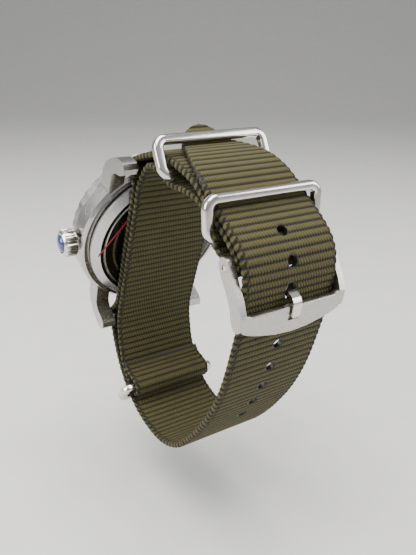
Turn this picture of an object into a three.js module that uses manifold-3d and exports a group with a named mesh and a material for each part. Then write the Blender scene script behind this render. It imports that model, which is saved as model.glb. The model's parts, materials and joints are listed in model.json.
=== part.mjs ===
// Dive watch on a one-piece woven strap, closed into a loop as it sits around a wrist.
// Millimetres. +X runs from the loop to the crown side (3 o'clock), +Z up, the dial looks along -Y tipped upwards.
// The origin is the wrist axis, which runs along X through the middle of the loop.
import * as THREE from "three";
import { mergeVertices } from "three/addons/utils/BufferGeometryUtils.js";
import Module from "manifold-3d";

const wasm = await Module();
wasm.setup();

// ---------------------------------------------------------------- driving dimensions
// Head
const CASE_R = 18.4; // outer radius of the mid-case
const CASE_H = 5.0; // height of the mid-case side
const HEAD_TILT = 20; // degrees the dial leans back from vertical
const HEAD_Y = -22.8; // centre of the mid-case back plane
const HEAD_Z = 10.3;
const BORE_R = 14.3; // case bore for the movement
const BACK_DROP = 2.0; // caseback face below the mid-case
const WINDOW_R = 11.3; // rear crystal
const CROWN_R = 2.95;
const CROWN_L = 3.1;
const CROWN_Z = 2.6; // height of the stem axis
const BEZEL_R = 17.6;
const BEZEL_H = 2.0;
const CRYSTAL_R = 14.1;
const DIAL_R = 14.0;
const MOVEMENT_R = 12.9;
const ROTOR_R = 11.3;
const LUG_SPAN = 44.0; // lug tip to lug tip
const LUG_W = 3.1; // width of one lug
const BAR_Y = 19.9; // spring bar from the case centre
const BAR_DROP = 2.4; // spring bar below the mid-case back plane
const BAR_R = 0.75;
const BAR_TIP_R = 0.45;
// Strap
const STRAP_W = 20.0; // nominal webbing width
const STRAP_T = 1.2; // webbing thickness
const HOLE_R = 1.0;
const HOLE_PITCH = 5.55;
const TIP_L = 21; // length of the tapered, rounded tip
// Rings and buckle
const RING_W = 25.0; // outer length of a keeper ring
const WIRE = 1.8; // thickness of the ring wire
const RING_LEAN = 4.2; // how far along the strap a keeper's outer bar leans from its inner bar
const PIN_Y = 19.5; // buckle pin
const PIN_Z = 18.0;
const PIN_R = 0.55;
const FRAME_W = 22.8; // outer width of the buckle frame
const ARM_T = 1.25;
const PLATE_T = 1.1;
const TONGUE_W = 1.8;
const SEAT_D = 0.6; // depth of the tongue's seat in the plate
// Named clearances
const LAYER_GAP = 0.3; // between two layers of webbing, and webbing and metal
const FIT = 0.1; // between a pressed or seated piece and its seat
const RUN = 0.06; // radial running clearance of a small pin
const SIDE_GAP = 0.25; // webbing edge to lug

// ---------------------------------------------------------------- helpers
const rad = THREE.MathUtils.degToRad;
const V2 = (x, y) => new THREE.Vector2(x, y);
const half = STRAP_W / 2;

function solidFrom(geometry) {
  const bare = (geometry.index ? geometry.toNonIndexed() : geometry).clone();
  for (const name of Object.keys(bare.attributes)) if (name !== "position") bare.deleteAttribute(name);
  const merged = mergeVertices(bare, 1e-4);
  const pos = merged.attributes.position.array;
  const index = merged.index.array;
  const tri = [];
  for (let i = 0; i < index.length; i += 3) {
    const [a, b, c] = [index[i], index[i + 1], index[i + 2]];
    if (a !== b && b !== c && a !== c) tri.push(a, b, c);
  }
  const make = (t) => new wasm.Manifold(new wasm.Mesh({ numProp: 3, vertProperties: new Float32Array(pos), triVerts: new Uint32Array(t) }));
  const first = make(tri);
  if (first.volume() >= 0) return first;
  for (let i = 0; i < tri.length; i += 3) [tri[i + 1], tri[i + 2]] = [tri[i + 2], tri[i + 1]];
  return make(tri);
}
function geometryFrom(solid) {
  const m = solid.getMesh();
  const g = new THREE.BufferGeometry();
  const p = new Float32Array(m.numVert * 3);
  for (let i = 0; i < m.numVert; i++) for (let k = 0; k < 3; k++) p[3 * i + k] = m.vertProperties[m.numProp * i + k];
  g.setAttribute("position", new THREE.BufferAttribute(p, 3));
  g.setIndex(new THREE.BufferAttribute(new Uint32Array(m.triVerts), 1));
  const flat = g.toNonIndexed();
  flat.computeVertexNormals();
  return flat;
}
// A closed profile of [radius, height] pairs turned about Z.
function turned(profile, segments = 64) {
  const pts = profile.map(([r, z]) => V2(Math.max(r, 0), z));
  const onAxis = profile[0][0] < 1e-6 && profile[profile.length - 1][0] < 1e-6;
  if (!onAxis) pts.push(pts[0].clone());
  return solidFrom(new THREE.LatheGeometry(pts, segments).rotateX(Math.PI / 2));
}
const ringOf = (r0, r1, z0, z1, segments = 64) => turned([[r0, z0], [r1, z0], [r1, z1], [r0, z1]], segments);
const discOf = (r, z0, z1, segments = 64) => turned([[0, z0], [r, z0], [r, z1], [0, z1]], segments);
// A cylinder along X.
const rodX = (r, x0, x1, y = 0, z = 0, segments = 20) =>
  solidFrom(new THREE.CylinderGeometry(r, r, x1 - x0, segments).rotateZ(Math.PI / 2).translate((x0 + x1) / 2, y, z));
const boxOf = (x0, x1, y0, y1, z0, z1) =>
  solidFrom(new THREE.BoxGeometry(x1 - x0, y1 - y0, z1 - z0).translate((x0 + x1) / 2, (y0 + y1) / 2, (z0 + z1) / 2));
// A shape drawn in the YZ plane and drawn out along X between x0 and x1.
const acrossX = new THREE.Matrix4().makeBasis(new THREE.Vector3(0, 1, 0), new THREE.Vector3(0, 0, 1), new THREE.Vector3(1, 0, 0));
function sideExtrude(points, x0, x1, holes = []) {
  const shape = new THREE.Shape(points.map(([y, z]) => V2(y, z)));
  for (const h of holes) shape.holes.push(new THREE.Path(h.map(([y, z]) => V2(y, z))));
  const g = new THREE.ExtrudeGeometry(shape, { depth: x1 - x0, bevelEnabled: false, curveSegments: 12 });
  return solidFrom(g.applyMatrix4(acrossX).translate(x0, 0, 0));
}
const circle = (cy, cz, r, n = 24, from = 0, to = 360) =>
  Array.from({ length: n + (to - from < 360 ? 1 : 0) }, (_, i) => {
    const a = rad(from + ((to - from) * i) / n);
    return [cy + r * Math.cos(a), cz + r * Math.sin(a)];
  });
function smooth(points, step) {
  const curve = new THREE.CatmullRomCurve3(points.map(([y, z]) => new THREE.Vector3(y, z, 0)), false, "centripetal");
  const n = Math.max(2, Math.round(curve.getLength() / step));
  return curve.getSpacedPoints(n).map((p) => [p.x, p.y]);
}
// Leaves out the points of a line that lie within a tolerance of the chord they stand on.
function thinned(line, tolerance = 0.02) {
  const keep = new Array(line.length).fill(false);
  keep[0] = keep[line.length - 1] = true;
  const stack = [[0, line.length - 1]];
  while (stack.length) {
    const [a, b] = stack.pop();
    const [p, q] = [line[a], line[b]], d = Math.hypot(q[0] - p[0], q[1] - p[1]);
    let worst = 0, at = -1;
    for (let i = a + 1; i < b; i++) {
      const e = Math.abs((q[0] - p[0]) * (line[i][1] - p[1]) - (q[1] - p[1]) * (line[i][0] - p[0])) / d;
      if (e > worst) [worst, at] = [e, i];
    }
    if (worst > tolerance || b - a > 24) {
      if (at < 0) at = (a + b) >> 1;
      keep[at] = true;
      stack.push([a, at], [at, b]);
    }
  }
  return line.filter((_, i) => keep[i]);
}
// Unit normal on the left of the direction of travel.
function normals(line) {
  return line.map((_, i) => {
    const a = line[Math.max(0, i - 1)], b = line[Math.min(line.length - 1, i + 1)];
    const d = Math.hypot(b[0] - a[0], b[1] - a[1]);
    return [-(b[1] - a[1]) / d, (b[0] - a[0]) / d];
  });
}
function offset(line, by) {
  const n = normals(line);
  return line.map((p, i) => [p[0] + n[i][0] * by, p[1] + n[i][1] * by]);
}
function lengths(line) {
  const s = [0];
  for (let i = 1; i < line.length; i++) s.push(s[i - 1] + Math.hypot(line[i][0] - line[i - 1][0], line[i][1] - line[i - 1][1]));
  return s;
}
function pointAt(line, s) {
  const L = lengths(line);
  const t = Math.min(Math.max(s, 0), L[L.length - 1]);
  let i = 1;
  while (i < L.length - 1 && L[i] < t) i++;
  const f = (t - L[i - 1]) / (L[i] - L[i - 1]);
  const a = line[i - 1], b = line[i];
  const d = L[i] - L[i - 1];
  return { at: [a[0] + f * (b[0] - a[0]), a[1] + f * (b[1] - a[1])], normal: [-(b[1] - a[1]) / d, (b[0] - a[0]) / d] };
}
// Distance along a line to its point nearest to q, looked for between s0 and s1.
function nearestOn(line, q, s0 = 0, s1 = Infinity) {
  const L = lengths(line);
  let best = 0, gap = Infinity;
  line.forEach((p, i) => {
    const d = Math.hypot(p[0] - q[0], p[1] - q[1]);
    if (L[i] >= s0 && L[i] <= s1 && d < gap) [gap, best] = [d, L[i]];
  });
  return best;
}
// A band of webbing: the centre line thickened both ways and drawn out across the strap.
const bandOf = (line, width = STRAP_W, thick = STRAP_T) =>
  sideExtrude([...thinned(offset(line, thick / 2)), ...thinned(offset(line, -thick / 2)).reverse()], -width / 2, width / 2);
// Turns a solid made about Z into one that stands on a line of the YZ plane, Z becoming the given normal.
function standOn(geometry, at, normal) {
  const n = new THREE.Vector3(0, normal[0], normal[1]).normalize();
  const x = new THREE.Vector3(1, 0, 0);
  const y = new THREE.Vector3().crossVectors(n, x);
  return geometry.applyMatrix4(new THREE.Matrix4().makeBasis(x, y, n).setPosition(0, at[0], at[1]));
}

const steel = (color, roughness) => new THREE.MeshStandardMaterial({ color, roughness, metalness: 1 });
const satin = steel(0xaaa69f, 0.38);
const polished = steel(0xc9c4ba, 0.12);
const fine = steel(0xb7b4ae, 0.25);
const gilt = steel(0xb79a5e, 0.3);
const webbing = new THREE.MeshStandardMaterial({ color: 0x575c36, roughness: 0.92, metalness: 0 });
const fused = new THREE.MeshStandardMaterial({ color: 0x2b2e1c, roughness: 0.7, metalness: 0 });
const rubber = new THREE.MeshStandardMaterial({ color: 0x16171a, roughness: 0.8, metalness: 0 });
const glass = new THREE.MeshStandardMaterial({ color: 0xdfe6ea, roughness: 0.04, metalness: 0, transparent: true, opacity: 0.35 });
const smoked = new THREE.MeshStandardMaterial({ color: 0x23262b, roughness: 0.05, metalness: 0, transparent: true, opacity: 0.5 });
const blue = new THREE.MeshStandardMaterial({ color: 0x2a6ea8, roughness: 0.12, metalness: 0 });
const black = new THREE.MeshStandardMaterial({ color: 0x121316, roughness: 0.35, metalness: 0 });
const lume = new THREE.MeshStandardMaterial({ color: 0xe6e7da, roughness: 0.5, metalness: 0 });

const watch = new THREE.Group();
const head = new THREE.Group();
head.position.set(0, HEAD_Y, HEAD_Z);
head.rotation.x = Math.PI / 2 - rad(HEAD_TILT);
watch.add(head);
function add(group, name, solid, material) {
  const mesh = new THREE.Mesh(geometryFrom(solid), material);
  mesh.name = name;
  group.add(mesh);
  return mesh;
}

// ---------------------------------------------------------------- head: case
const LUG_IN = half + SIDE_GAP; // inner face of a lug
const LEDGE_Z = CASE_H + 1.2; // seat of the front crystal
const NECK_TOP = CASE_H + 2.0;
const NECK_R = CRYSTAL_R + 1.5;
const RECESS_R = BORE_R + 1.6; // mouth for the caseback skirt and its gasket
const RECESS_Z = 1.12; // depth of that mouth
const caseRing = turned([
  [RECESS_R, 0], [CASE_R - 0.7, 0], [CASE_R, 0.7], [CASE_R, CASE_H - 0.8], [CASE_R - 0.8, CASE_H],
  [NECK_R + 1.5, CASE_H], [NECK_R + 1.5, CASE_H - 0.5], [NECK_R + 0.3, CASE_H - 0.5], [NECK_R + 0.3, CASE_H],
  [NECK_R, CASE_H], [NECK_R, NECK_TOP], [CRYSTAL_R + 0.65, NECK_TOP], [CRYSTAL_R + 0.65, LEDGE_Z],
  [BORE_R, LEDGE_Z], [BORE_R, RECESS_Z], [RECESS_R, RECESS_Z],
], 60);
// One lug, seen from the side: it leaves the case side and turns down past the back.
const lugSide = (s) => [
  [12.6, 0.35], [17.0, 0.1], [18.3, -1.2], [18.9, -3.3], [19.6, -4.4], [20.9, -4.7],
  [LUG_SPAN / 2 - 0.25, -3.9], [LUG_SPAN / 2, -2.9], [21.6, -0.9], [20.4, 1.2], [18.6, 3.1], [16.4, CASE_H - 0.85], [12.6, CASE_H - 0.8],
].map(([y, z]) => [s * y, z]);
let midCase = caseRing;
for (const s of [1, -1]) {
  for (const x0 of [LUG_IN, -LUG_IN - LUG_W]) {
    // The lug starts outside the bore, inside the wall of the case.
    const lug = sideExtrude(lugSide(s), x0, x0 + LUG_W).subtract(discOf(BORE_R + 2.2, -6, 8, 60));
    midCase = midCase.add(lug);
  }
}
const TIP_HOLE_R = BAR_TIP_R + RUN + 0.04;
for (const s of [1, -1])
  for (const side of [1, -1])
    midCase = midCase.subtract(rodX(TIP_HOLE_R, side > 0 ? LUG_IN - 1 : -LUG_IN - 1.5, side > 0 ? LUG_IN + 1.5 : -LUG_IN + 1, s * BAR_Y, -BAR_DROP, 16));
const TUBE_R = 1.2;
midCase = midCase.subtract(rodX(TUBE_R + FIT, BORE_R - 2, CASE_R + 2, 0, CROWN_Z, 24));
add(head, "mid_case", midCase, satin);

// ---------------------------------------------------------------- head: caseback
const FLANGE_R = BORE_R + 2.3;
const SEAM = -0.3; // top of the caseback flange, below the mid-case
add(head, "caseback_ring", turned([
  [WINDOW_R - 0.6, -BACK_DROP], [13.75, -BACK_DROP], [13.85, -BACK_DROP + 0.2], [14.05, -BACK_DROP + 0.2], [14.15, -BACK_DROP],
  [14.85, -BACK_DROP], [FLANGE_R, -0.85], [FLANGE_R, SEAM], [14.9, SEAM], [14.9, 1.0], [13.9, 1.0], [13.9, SEAM],
  [WINDOW_R + 0.45, SEAM], [WINDOW_R + 0.45, -BACK_DROP + 0.3], [WINDOW_R - 0.6, -BACK_DROP + 0.3],
], 60), polished);
add(head, "caseback_window", discOf(WINDOW_R, -BACK_DROP + 0.4, -BACK_DROP + 1.2, 48), smoked);
add(head, "window_gasket", ringOf(WINDOW_R + 0.1, WINDOW_R + 0.35, -BACK_DROP + 0.4, -BACK_DROP + 1.2, 48), rubber);
add(head, "caseback_gasket", ringOf(15.0, RECESS_R - 0.15, 0.15, 0.95, 40), rubber);

// ---------------------------------------------------------------- head: movement
let plate = discOf(MOVEMENT_R, 1.5, 3.8, 48);
plate = plate.subtract(rodX(0.7, MOVEMENT_R - 5, MOVEMENT_R + 2, 0, CROWN_Z, 16));
plate = plate.subtract(discOf(1.05, 1, 5, 24));
add(head, "movement_plate", plate, gilt);
let bridge = discOf(12.0, 0.65, 1.35, 40).subtract(discOf(1.0, 0, 2, 24));
bridge = bridge.subtract(solidFrom(new THREE.CylinderGeometry(3.6, 3.6, 3, 32).rotateX(Math.PI / 2).translate(-5.5, 5.5, 1)));
bridge = bridge.subtract(boxOf(3.2, 9.0, 5.4, 6.4, 0, 3)).subtract(boxOf(2.4, 10.0, 2.4, 3.2, 0, 3));
add(head, "movement_bridge", bridge, fine);
add(head, "balance_wheel", ringOf(2.35, 2.95, 0.75, 1.15, 32)
  .add(boxOf(-2.5, 2.5, -0.3, 0.3, 0.75, 1.15)).add(discOf(0.5, 0.6, 1.3, 16)).translate(-5.5, 5.5, 0), gilt);
let holder = ringOf(MOVEMENT_R + 0.2, BORE_R - 0.2, 1.9, 3.5, 40);
holder = holder.subtract(rodX(0.6, BORE_R - 3, BORE_R + 1, 0, CROWN_Z, 16));
add(head, "movement_holder", holder, black);
// Winding rotor: half a disc with a heavy rim, hanging towards 6 o'clock.
const halfDisc = (r, n = 28) => [...circle(0, 0, r, n, 180, 360)];
function flatExtrude(points, z0, z1, holes = []) {
  const shape = new THREE.Shape(points.map(([x, y]) => V2(x, y)));
  for (const h of holes) shape.holes.push(new THREE.Path(h.map(([x, y]) => V2(x, y))));
  return solidFrom(new THREE.ExtrudeGeometry(shape, { depth: z1 - z0, bevelEnabled: false, curveSegments: 12 }).translate(0, 0, z0));
}
let rotor = flatExtrude(halfDisc(ROTOR_R - 1.0), 0.0, 0.3).add(discOf(2.3, 0.0, 0.3, 32));
rotor = rotor.add(flatExtrude([...circle(0, 0, ROTOR_R, 32, 184, 356), ...circle(0, 0, ROTOR_R - 2.0, 32, 184, 356).reverse()], -0.35, 0.45));
rotor = rotor.subtract(discOf(1.2, -1, 1, 24));
add(head, "rotor", rotor, fine);
add(head, "rotor_bearing", turned([[0, -0.3], [1.7, -0.3], [1.7, -0.1], [1.1, -0.1], [1.1, 0.4], [0.9, 0.4], [0.9, 1.3], [0, 1.3]], 24), polished);

// ---------------------------------------------------------------- head: crown
const CROWN_X = CASE_R + 0.45; // inner end of the crown
add(head, "crown_tube", rodX(TUBE_R, BORE_R + 0.4, CASE_R + 1.6, 0, CROWN_Z, 24).subtract(rodX(0.7, BORE_R - 2, CASE_R + 3, 0, CROWN_Z, 24)), fine);
const flutes = 22;
const crownOutline = [];
for (let i = 0; i < flutes; i++)
  for (const [f, r] of [[0.0, CROWN_R - 0.2], [0.2, CROWN_R], [0.6, CROWN_R], [0.8, CROWN_R - 0.2]]) {
    const a = ((i + f) / flutes) * 2 * Math.PI;
    crownOutline.push(V2(r * Math.cos(a), r * Math.sin(a)));
  }
const crownBlank = solidFrom(new THREE.ExtrudeGeometry(new THREE.Shape(crownOutline), { depth: CROWN_L, bevelEnabled: false }).rotateY(Math.PI / 2).translate(CROWN_X, 0, CROWN_Z));
const crownBody = crownBlank.intersect(turned([[0, 0], [CROWN_R - 0.4, 0], [CROWN_R + 0.1, 0.45], [CROWN_R + 0.1, CROWN_L - 0.75], [CROWN_R - 0.2, CROWN_L - 0.3], [CROWN_R - 0.6, CROWN_L], [0, CROWN_L]], 32).rotate([0, 90, 0]).translate(CROWN_X, 0, CROWN_Z));
let crown = crownBody.subtract(rodX(1.85, CROWN_X - 1, CROWN_X + 1.55, 0, CROWN_Z, 24)).subtract(rodX(0.62, CROWN_X, CROWN_X + 2.1, 0, CROWN_Z, 16));
crown = crown.subtract(rodX(2.05, CROWN_X + CROWN_L - 0.5, CROWN_X + CROWN_L + 1, 0, CROWN_Z, 32));
add(head, "crown", crown, polished);
add(head, "crown_cabochon", turned([[0, 0], [1.9, 0], [1.9, 0.3], [1.55, 0.62], [1.05, 0.85], [0.55, 0.97], [0, 1.0]], 32)
  .rotate([0, 90, 0]).translate(CROWN_X + CROWN_L - 0.4, 0, CROWN_Z), blue);
add(head, "crown_gasket", rodX(1.75, CROWN_X + 0.35, CROWN_X + 0.95, 0, CROWN_Z, 24).subtract(rodX(1.3, CROWN_X, CROWN_X + 2, 0, CROWN_Z, 24)), rubber);
add(head, "winding_stem", rodX(0.5, 9.0, CROWN_X + 2.0, 0, CROWN_Z, 16), polished);

// ---------------------------------------------------------------- head: front
const BEZEL_Z = CASE_H + 0.35;
const teeth = 40;
const bezelOutline = [];
for (let i = 0; i < teeth; i++)
  for (const [f, r] of [[0.0, BEZEL_R - 0.25], [0.35, BEZEL_R], [0.65, BEZEL_R]]) {
    const a = ((i + f) / teeth) * 2 * Math.PI;
    bezelOutline.push([r * Math.cos(a), r * Math.sin(a)]);
  }
let bezel = flatExtrude(bezelOutline, BEZEL_Z, BEZEL_Z + BEZEL_H, [circle(0, 0, NECK_R + 0.2, 60).reverse()]);
bezel = bezel.subtract(ringOf(NECK_R + 0.4, BEZEL_R - 0.6, BEZEL_Z + BEZEL_H - 0.5, BEZEL_Z + BEZEL_H + 1, 48));
add(head, "bezel", bezel, satin);
add(head, "bezel_insert", ringOf(NECK_R + 0.5, BEZEL_R - 0.7, BEZEL_Z + BEZEL_H - 0.4, BEZEL_Z + BEZEL_H + 0.05, 48), black);
add(head, "bezel_click_spring", ringOf(NECK_R + 0.5, NECK_R + 1.3, CASE_H - 0.35, CASE_H + 0.15, 40), fine);
add(head, "crystal", turned([[0, LEDGE_Z + 0.1], [CRYSTAL_R, LEDGE_Z + 0.1], [CRYSTAL_R, NECK_TOP + 0.5], [CRYSTAL_R - 0.4, NECK_TOP + 0.85], [10, NECK_TOP + 1.15], [5, NECK_TOP + 1.4], [0, NECK_TOP + 1.45]], 48), glass);
add(head, "crystal_gasket", ringOf(CRYSTAL_R + 0.12, CRYSTAL_R + 0.5, LEDGE_Z + 0.1, NECK_TOP + 0.1, 48), rubber);
add(head, "chapter_ring", turned([[13.3, 4.55], [BORE_R - 0.15, 4.55], [BORE_R - 0.15, LEDGE_Z - 0.1], [13.7, LEDGE_Z - 0.1]], 48), black);
let dial = discOf(DIAL_R, 4.0, 4.35, 48).subtract(discOf(1.05, 3, 5, 24));
for (let h = 0; h < 12; h++) {
  const a = rad(90 - 30 * h), long = h % 3 === 0 ? 2.6 : 1.8;
  const bar = boxOf(-0.45, 0.45, 12.4 - long, 12.4, 4.2, 4.55).rotate([0, 0, THREE.MathUtils.radToDeg(a) - 90]);
  dial = dial.add(bar);
}
add(head, "dial", dial, black);
add(head, "hand_arbor", turned([[0, 2.2], [0.95, 2.2], [0.95, 3.75], [0.4, 3.75], [0.4, 5.85], [0, 5.85]], 20), fine);
const handOf = (length, width, z0, z1, boss) =>
  flatExtrude([[-0.5 * width, -2.2], [0.5 * width, -2.2], [0.5 * width, 0.72 * length], [0, length], [-0.5 * width, 0.72 * length]], z0, z1)
    .add(discOf(boss, z0, z1, 20)).subtract(discOf(0.4 + RUN + 0.02, z0 - 1, z1 + 1, 20));
add(head, "hour_hand", handOf(7.6, 1.4, 4.65, 4.85, 1.1).rotate([0, 0, 55]), lume);
add(head, "minute_hand", handOf(11.4, 1.1, 5.0, 5.2, 0.95).rotate([0, 0, -60]), lume);
add(head, "seconds_hand", handOf(12.4, 0.35, 5.35, 5.5, 0.75).rotate([0, 0, 150]), lume);

// ---------------------------------------------------------------- head: spring bars
for (const [word, s] of [["upper", 1], ["lower", -1]]) {
  const y = s * BAR_Y;
  const tube = rodX(BAR_R, -LUG_IN + 0.3, LUG_IN - 0.3, y, -BAR_DROP, 20)
    .subtract(rodX(BAR_TIP_R + RUN, -LUG_IN - 1, -LUG_IN + 3.2, y, -BAR_DROP, 16)).subtract(rodX(BAR_TIP_R + RUN, LUG_IN - 3.2, LUG_IN + 1, y, -BAR_DROP, 16));
  add(head, word + "_spring_bar", tube, fine);
  add(head, word + "_bar_tip_crown_side", rodX(BAR_TIP_R, LUG_IN - 1.9, LUG_IN + 1.1, y, -BAR_DROP, 16), fine);
  add(head, word + "_bar_tip_far_side", rodX(BAR_TIP_R, -LUG_IN - 1.1, -LUG_IN + 1.9, y, -BAR_DROP, 16), fine);
}

// ---------------------------------------------------------------- strap
const t = rad(HEAD_TILT);
// From the head's own (12 o'clock, dial normal) pair to the loop's (y, z).
const fromHead = ([u, w]) => [HEAD_Y + u * Math.sin(t) - w * Math.cos(t), HEAD_Z + u * Math.cos(t) + w * Math.sin(t)];
const WRAP_R = BAR_R + 0.25 + STRAP_T / 2; // centre line of the webbing round a spring bar
const BEHIND = -(BACK_DROP + LAYER_GAP + STRAP_T / 2); // long strap behind the case
const LAYER = STRAP_T + LAYER_GAP;
const barArc = (s, from, to, n = 7) => circle(BAR_Y, -BAR_DROP, WRAP_R, n, from, to).map(([u, w]) => fromHead([s * u, w]));

// Outer face of the loop, from the tip over the buckle and under the wrist to the lower lugs.
const outer = smooth([
  [-6.0, 36.9], [-4.4, 35.2], [-2.5, 34.05], [0, 33.85], [3.0, 33.4], [6.4, 32.3], [9.6, 30.6], [12.1, 28.7], [14.2, 27.05], [16.7, 25.3], [19.1, 23.5], [21.3, 21.5], [22.7, 19.4],
  [23.3, 17.2], [23.3, 14.6], [22.95, 12.0], [22.5, 9.0], [21.85, 6.0], [21.0, 3.0], [20.1, 0], [18.9, -3.8], [17.4, -7.6], [15.6, -11.3],
  [13.5, -14.9], [11.2, -18.2], [8.6, -21.6], [5.6, -25.0], [2.3, -28.1], [-1.8, -30.4], [-6.5, -31.5], [-11.0, -31.2], [-15.5, -30.0], [-19.6, -27.7],
  [-23.0, -24.6], [-25.6, -20.9], [-27.4, -17.1], [-28.7, -13.5],
], 0.5); // travelling this way the inside of the loop is on the right
const inside = (depth) => offset(outer, -depth);
const slice = (line, s0, s1, step) => {
  const n = Math.max(1, Math.round(Math.abs(s1 - s0) / step));
  return Array.from({ length: n + 1 }, (_, i) => pointAt(line, s0 + ((s1 - s0) * i) / n).at);
};
const pinS = nearestOn(outer, [PIN_Y + 3.3, PIN_Z + 0.7]);
const ringTopS = nearestOn(outer, [14.0, 27.2]); // outer bar of the keeper next to the buckle
const ringS = ringTopS + RING_LEAN; // its inner bar, which lies in the fold of the strap
const deep = (s, depth) => {
  const p = pointAt(outer, s);
  return [p.at[0] - p.normal[0] * depth, p.at[1] - p.normal[1] * depth];
};
const UP = LAYER_GAP + WIRE / 2; // outer bar of a keeper above the webbing
const RING_DEPTH = 2 * STRAP_T + LAYER_GAP + LAYER_GAP + WIRE / 2; // inner bar of a keeper below the outer face
const FOLD_R = PIN_R + 0.16 + STRAP_T / 2;
// Long strap: fold-back under the first keeper, round the pin, up to the lug, behind the case, under the wrist and out over the top.
const foldBack = [
  deep(ringS - 4.6, 2.5 * STRAP_T + 2 * LAYER_GAP), deep(ringS - 3.0, 2.5 * STRAP_T + 2 * LAYER_GAP + 0.5), deep(ringS - 1.2, RING_DEPTH + WIRE / 2 + LAYER_GAP + STRAP_T / 2),
  deep(ringS + 1.2, RING_DEPTH + WIRE / 2 + LAYER_GAP + STRAP_T / 2), deep(ringS + 4.2, RING_DEPTH + 1.35), 
];
const pinNormal = pointAt(outer, pinS).normal;
const away = THREE.MathUtils.radToDeg(Math.atan2(pinNormal[1], pinNormal[0]));
const pinFold = circle(PIN_Y, PIN_Z, FOLD_R, 12, away - 190, away + 4);
const upLeg = slice(inside(1.5 * STRAP_T + LAYER_GAP), pinS - 2.0, nearestOn(outer, [9.0, 31.0]), 1.6);
const toLug = [[4.6, 30.5], [1.0, 31.4], [-2.5, 31.8], [-6.0, 31.85], [-9.2, 31.25]];
const descent = [fromHead([16.9, BEHIND + 0.75]), fromHead([15.2, BEHIND + 0.12]), fromHead([13.0, BEHIND]), fromHead([4, BEHIND]), fromHead([-4, BEHIND]), fromHead([-13.0, BEHIND]), fromHead([-15.2, BEHIND + 0.12]), fromHead([-16.9, BEHIND + 0.75])];
const L = lengths(outer);
const total = L[L.length - 1];
const long1 = smooth([...foldBack, ...pinFold, ...upLeg, ...toLug, ...barArc(1, 40, 116), ...descent, ...barArc(-1, 58, 116).reverse(), ...slice(inside(STRAP_T / 2), total - 1.2, 0, 2.2)], 0.25);
let longStrap = bandOf(long1);
// Holes, counted both ways from the one the tongue is in.
const tail = inside(STRAP_T / 2);
const tongueS = nearestOn(outer, [23.0, 12.6]);
const drill = (s, r) => {
  const p = pointAt(outer, s);
  return solidFrom(standOn(new THREE.CylinderGeometry(r, r, 2.3, 16).rotateX(Math.PI / 2), [p.at[0] - p.normal[0] * 0.6, p.at[1] - p.normal[1] * 0.6], p.normal));
};
for (const k of [-2, -1, 1, 2, 3, 4, 5, 6]) longStrap = longStrap.subtract(drill(tongueS + k * HOLE_PITCH, HOLE_R));
// The hole in use is pulled long by the tongue.
longStrap = longStrap.subtract(drill(tongueS - 0.75, HOLE_R + 0.1)).subtract(drill(tongueS, HOLE_R + 0.1)).subtract(drill(tongueS + 0.75, HOLE_R + 0.1));
// Rounded tip: two corner pieces are taken off, standing square on the webbing.
const tipAt = pointAt(outer, 0);
// Half the width of the tip at each distance from the end, as a share of half the strap's width.
const taper = [[0, 0], [0.05, 0.09], [0.35, 0.2], [1.0, 0.3], [2.3, 0.39], [3.6, 0.5], [5.2, 0.6], [8.0, 0.7], [11.0, 0.82], [13.5, 0.9], [17.5, 0.97], [TIP_L, 1]];
const wide = (s) => {
  let i = 1;
  while (i < taper.length - 1 && taper[i][0] < s) i++;
  const [[a, wa], [b, wb]] = [taper[i - 1], taper[i]];
  return half * (wa + ((wb - wa) * Math.min(1, Math.max(0, (s - a) / (b - a)))));
};
// The webbing beyond each edge of the tip is taken off by a block that follows the curve of the strap.
const tipSteps = [0, 0.05, 0.35, 1.0, 1.65, 2.3, 3.6, 5.2, 6.6, 8.0, 9.5, 11.0, 12.2, 13.5, 15.5, 17.5, TIP_L];
for (const side of [1, -1]) {
  const v = [], f = [];
  for (const s of tipSteps) {
    const back = s === 0 ? -0.5 : 0;
    const p = pointAt(outer, s), dir = [p.normal[1], -p.normal[0]];
    for (const [x, d] of [[wide(s), 0.8], [half + 1, 0.8], [half + 1, -2.0], [wide(s), -2.0]])
      v.push(side * x, p.at[0] + p.normal[0] * d + dir[0] * back, p.at[1] + p.normal[1] * d + dir[1] * back);
  }
  const n = tipSteps.length;
  const quad = (a, b, c, d) => f.push(a, b, c, a, c, d);
  for (let i = 0; i < n - 1; i++) for (let k = 0; k < 4; k++) quad(4 * i + k, 4 * i + ((k + 1) % 4), 4 * i + 4 + ((k + 1) % 4), 4 * i + 4 + k);
  quad(3, 2, 1, 0);
  quad(4 * n - 4, 4 * n - 3, 4 * n - 2, 4 * n - 1);
  const g = new THREE.BufferGeometry().setAttribute("position", new THREE.Float32BufferAttribute(v, 3));
  g.setIndex(f);
  longStrap = longStrap.subtract(solidFrom(g));
}
// Room for the eye of the tongue in the fold.
longStrap = longStrap.subtract(boxOf(-TONGUE_W / 2 - 0.5, TONGUE_W / 2 + 0.5, PIN_Y - 3.4, PIN_Y + FOLD_R + STRAP_T / 2 + 0.1, PIN_Z - 3.4, PIN_Z + 1.9));
add(watch, "long_strap", longStrap, webbing);

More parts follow.
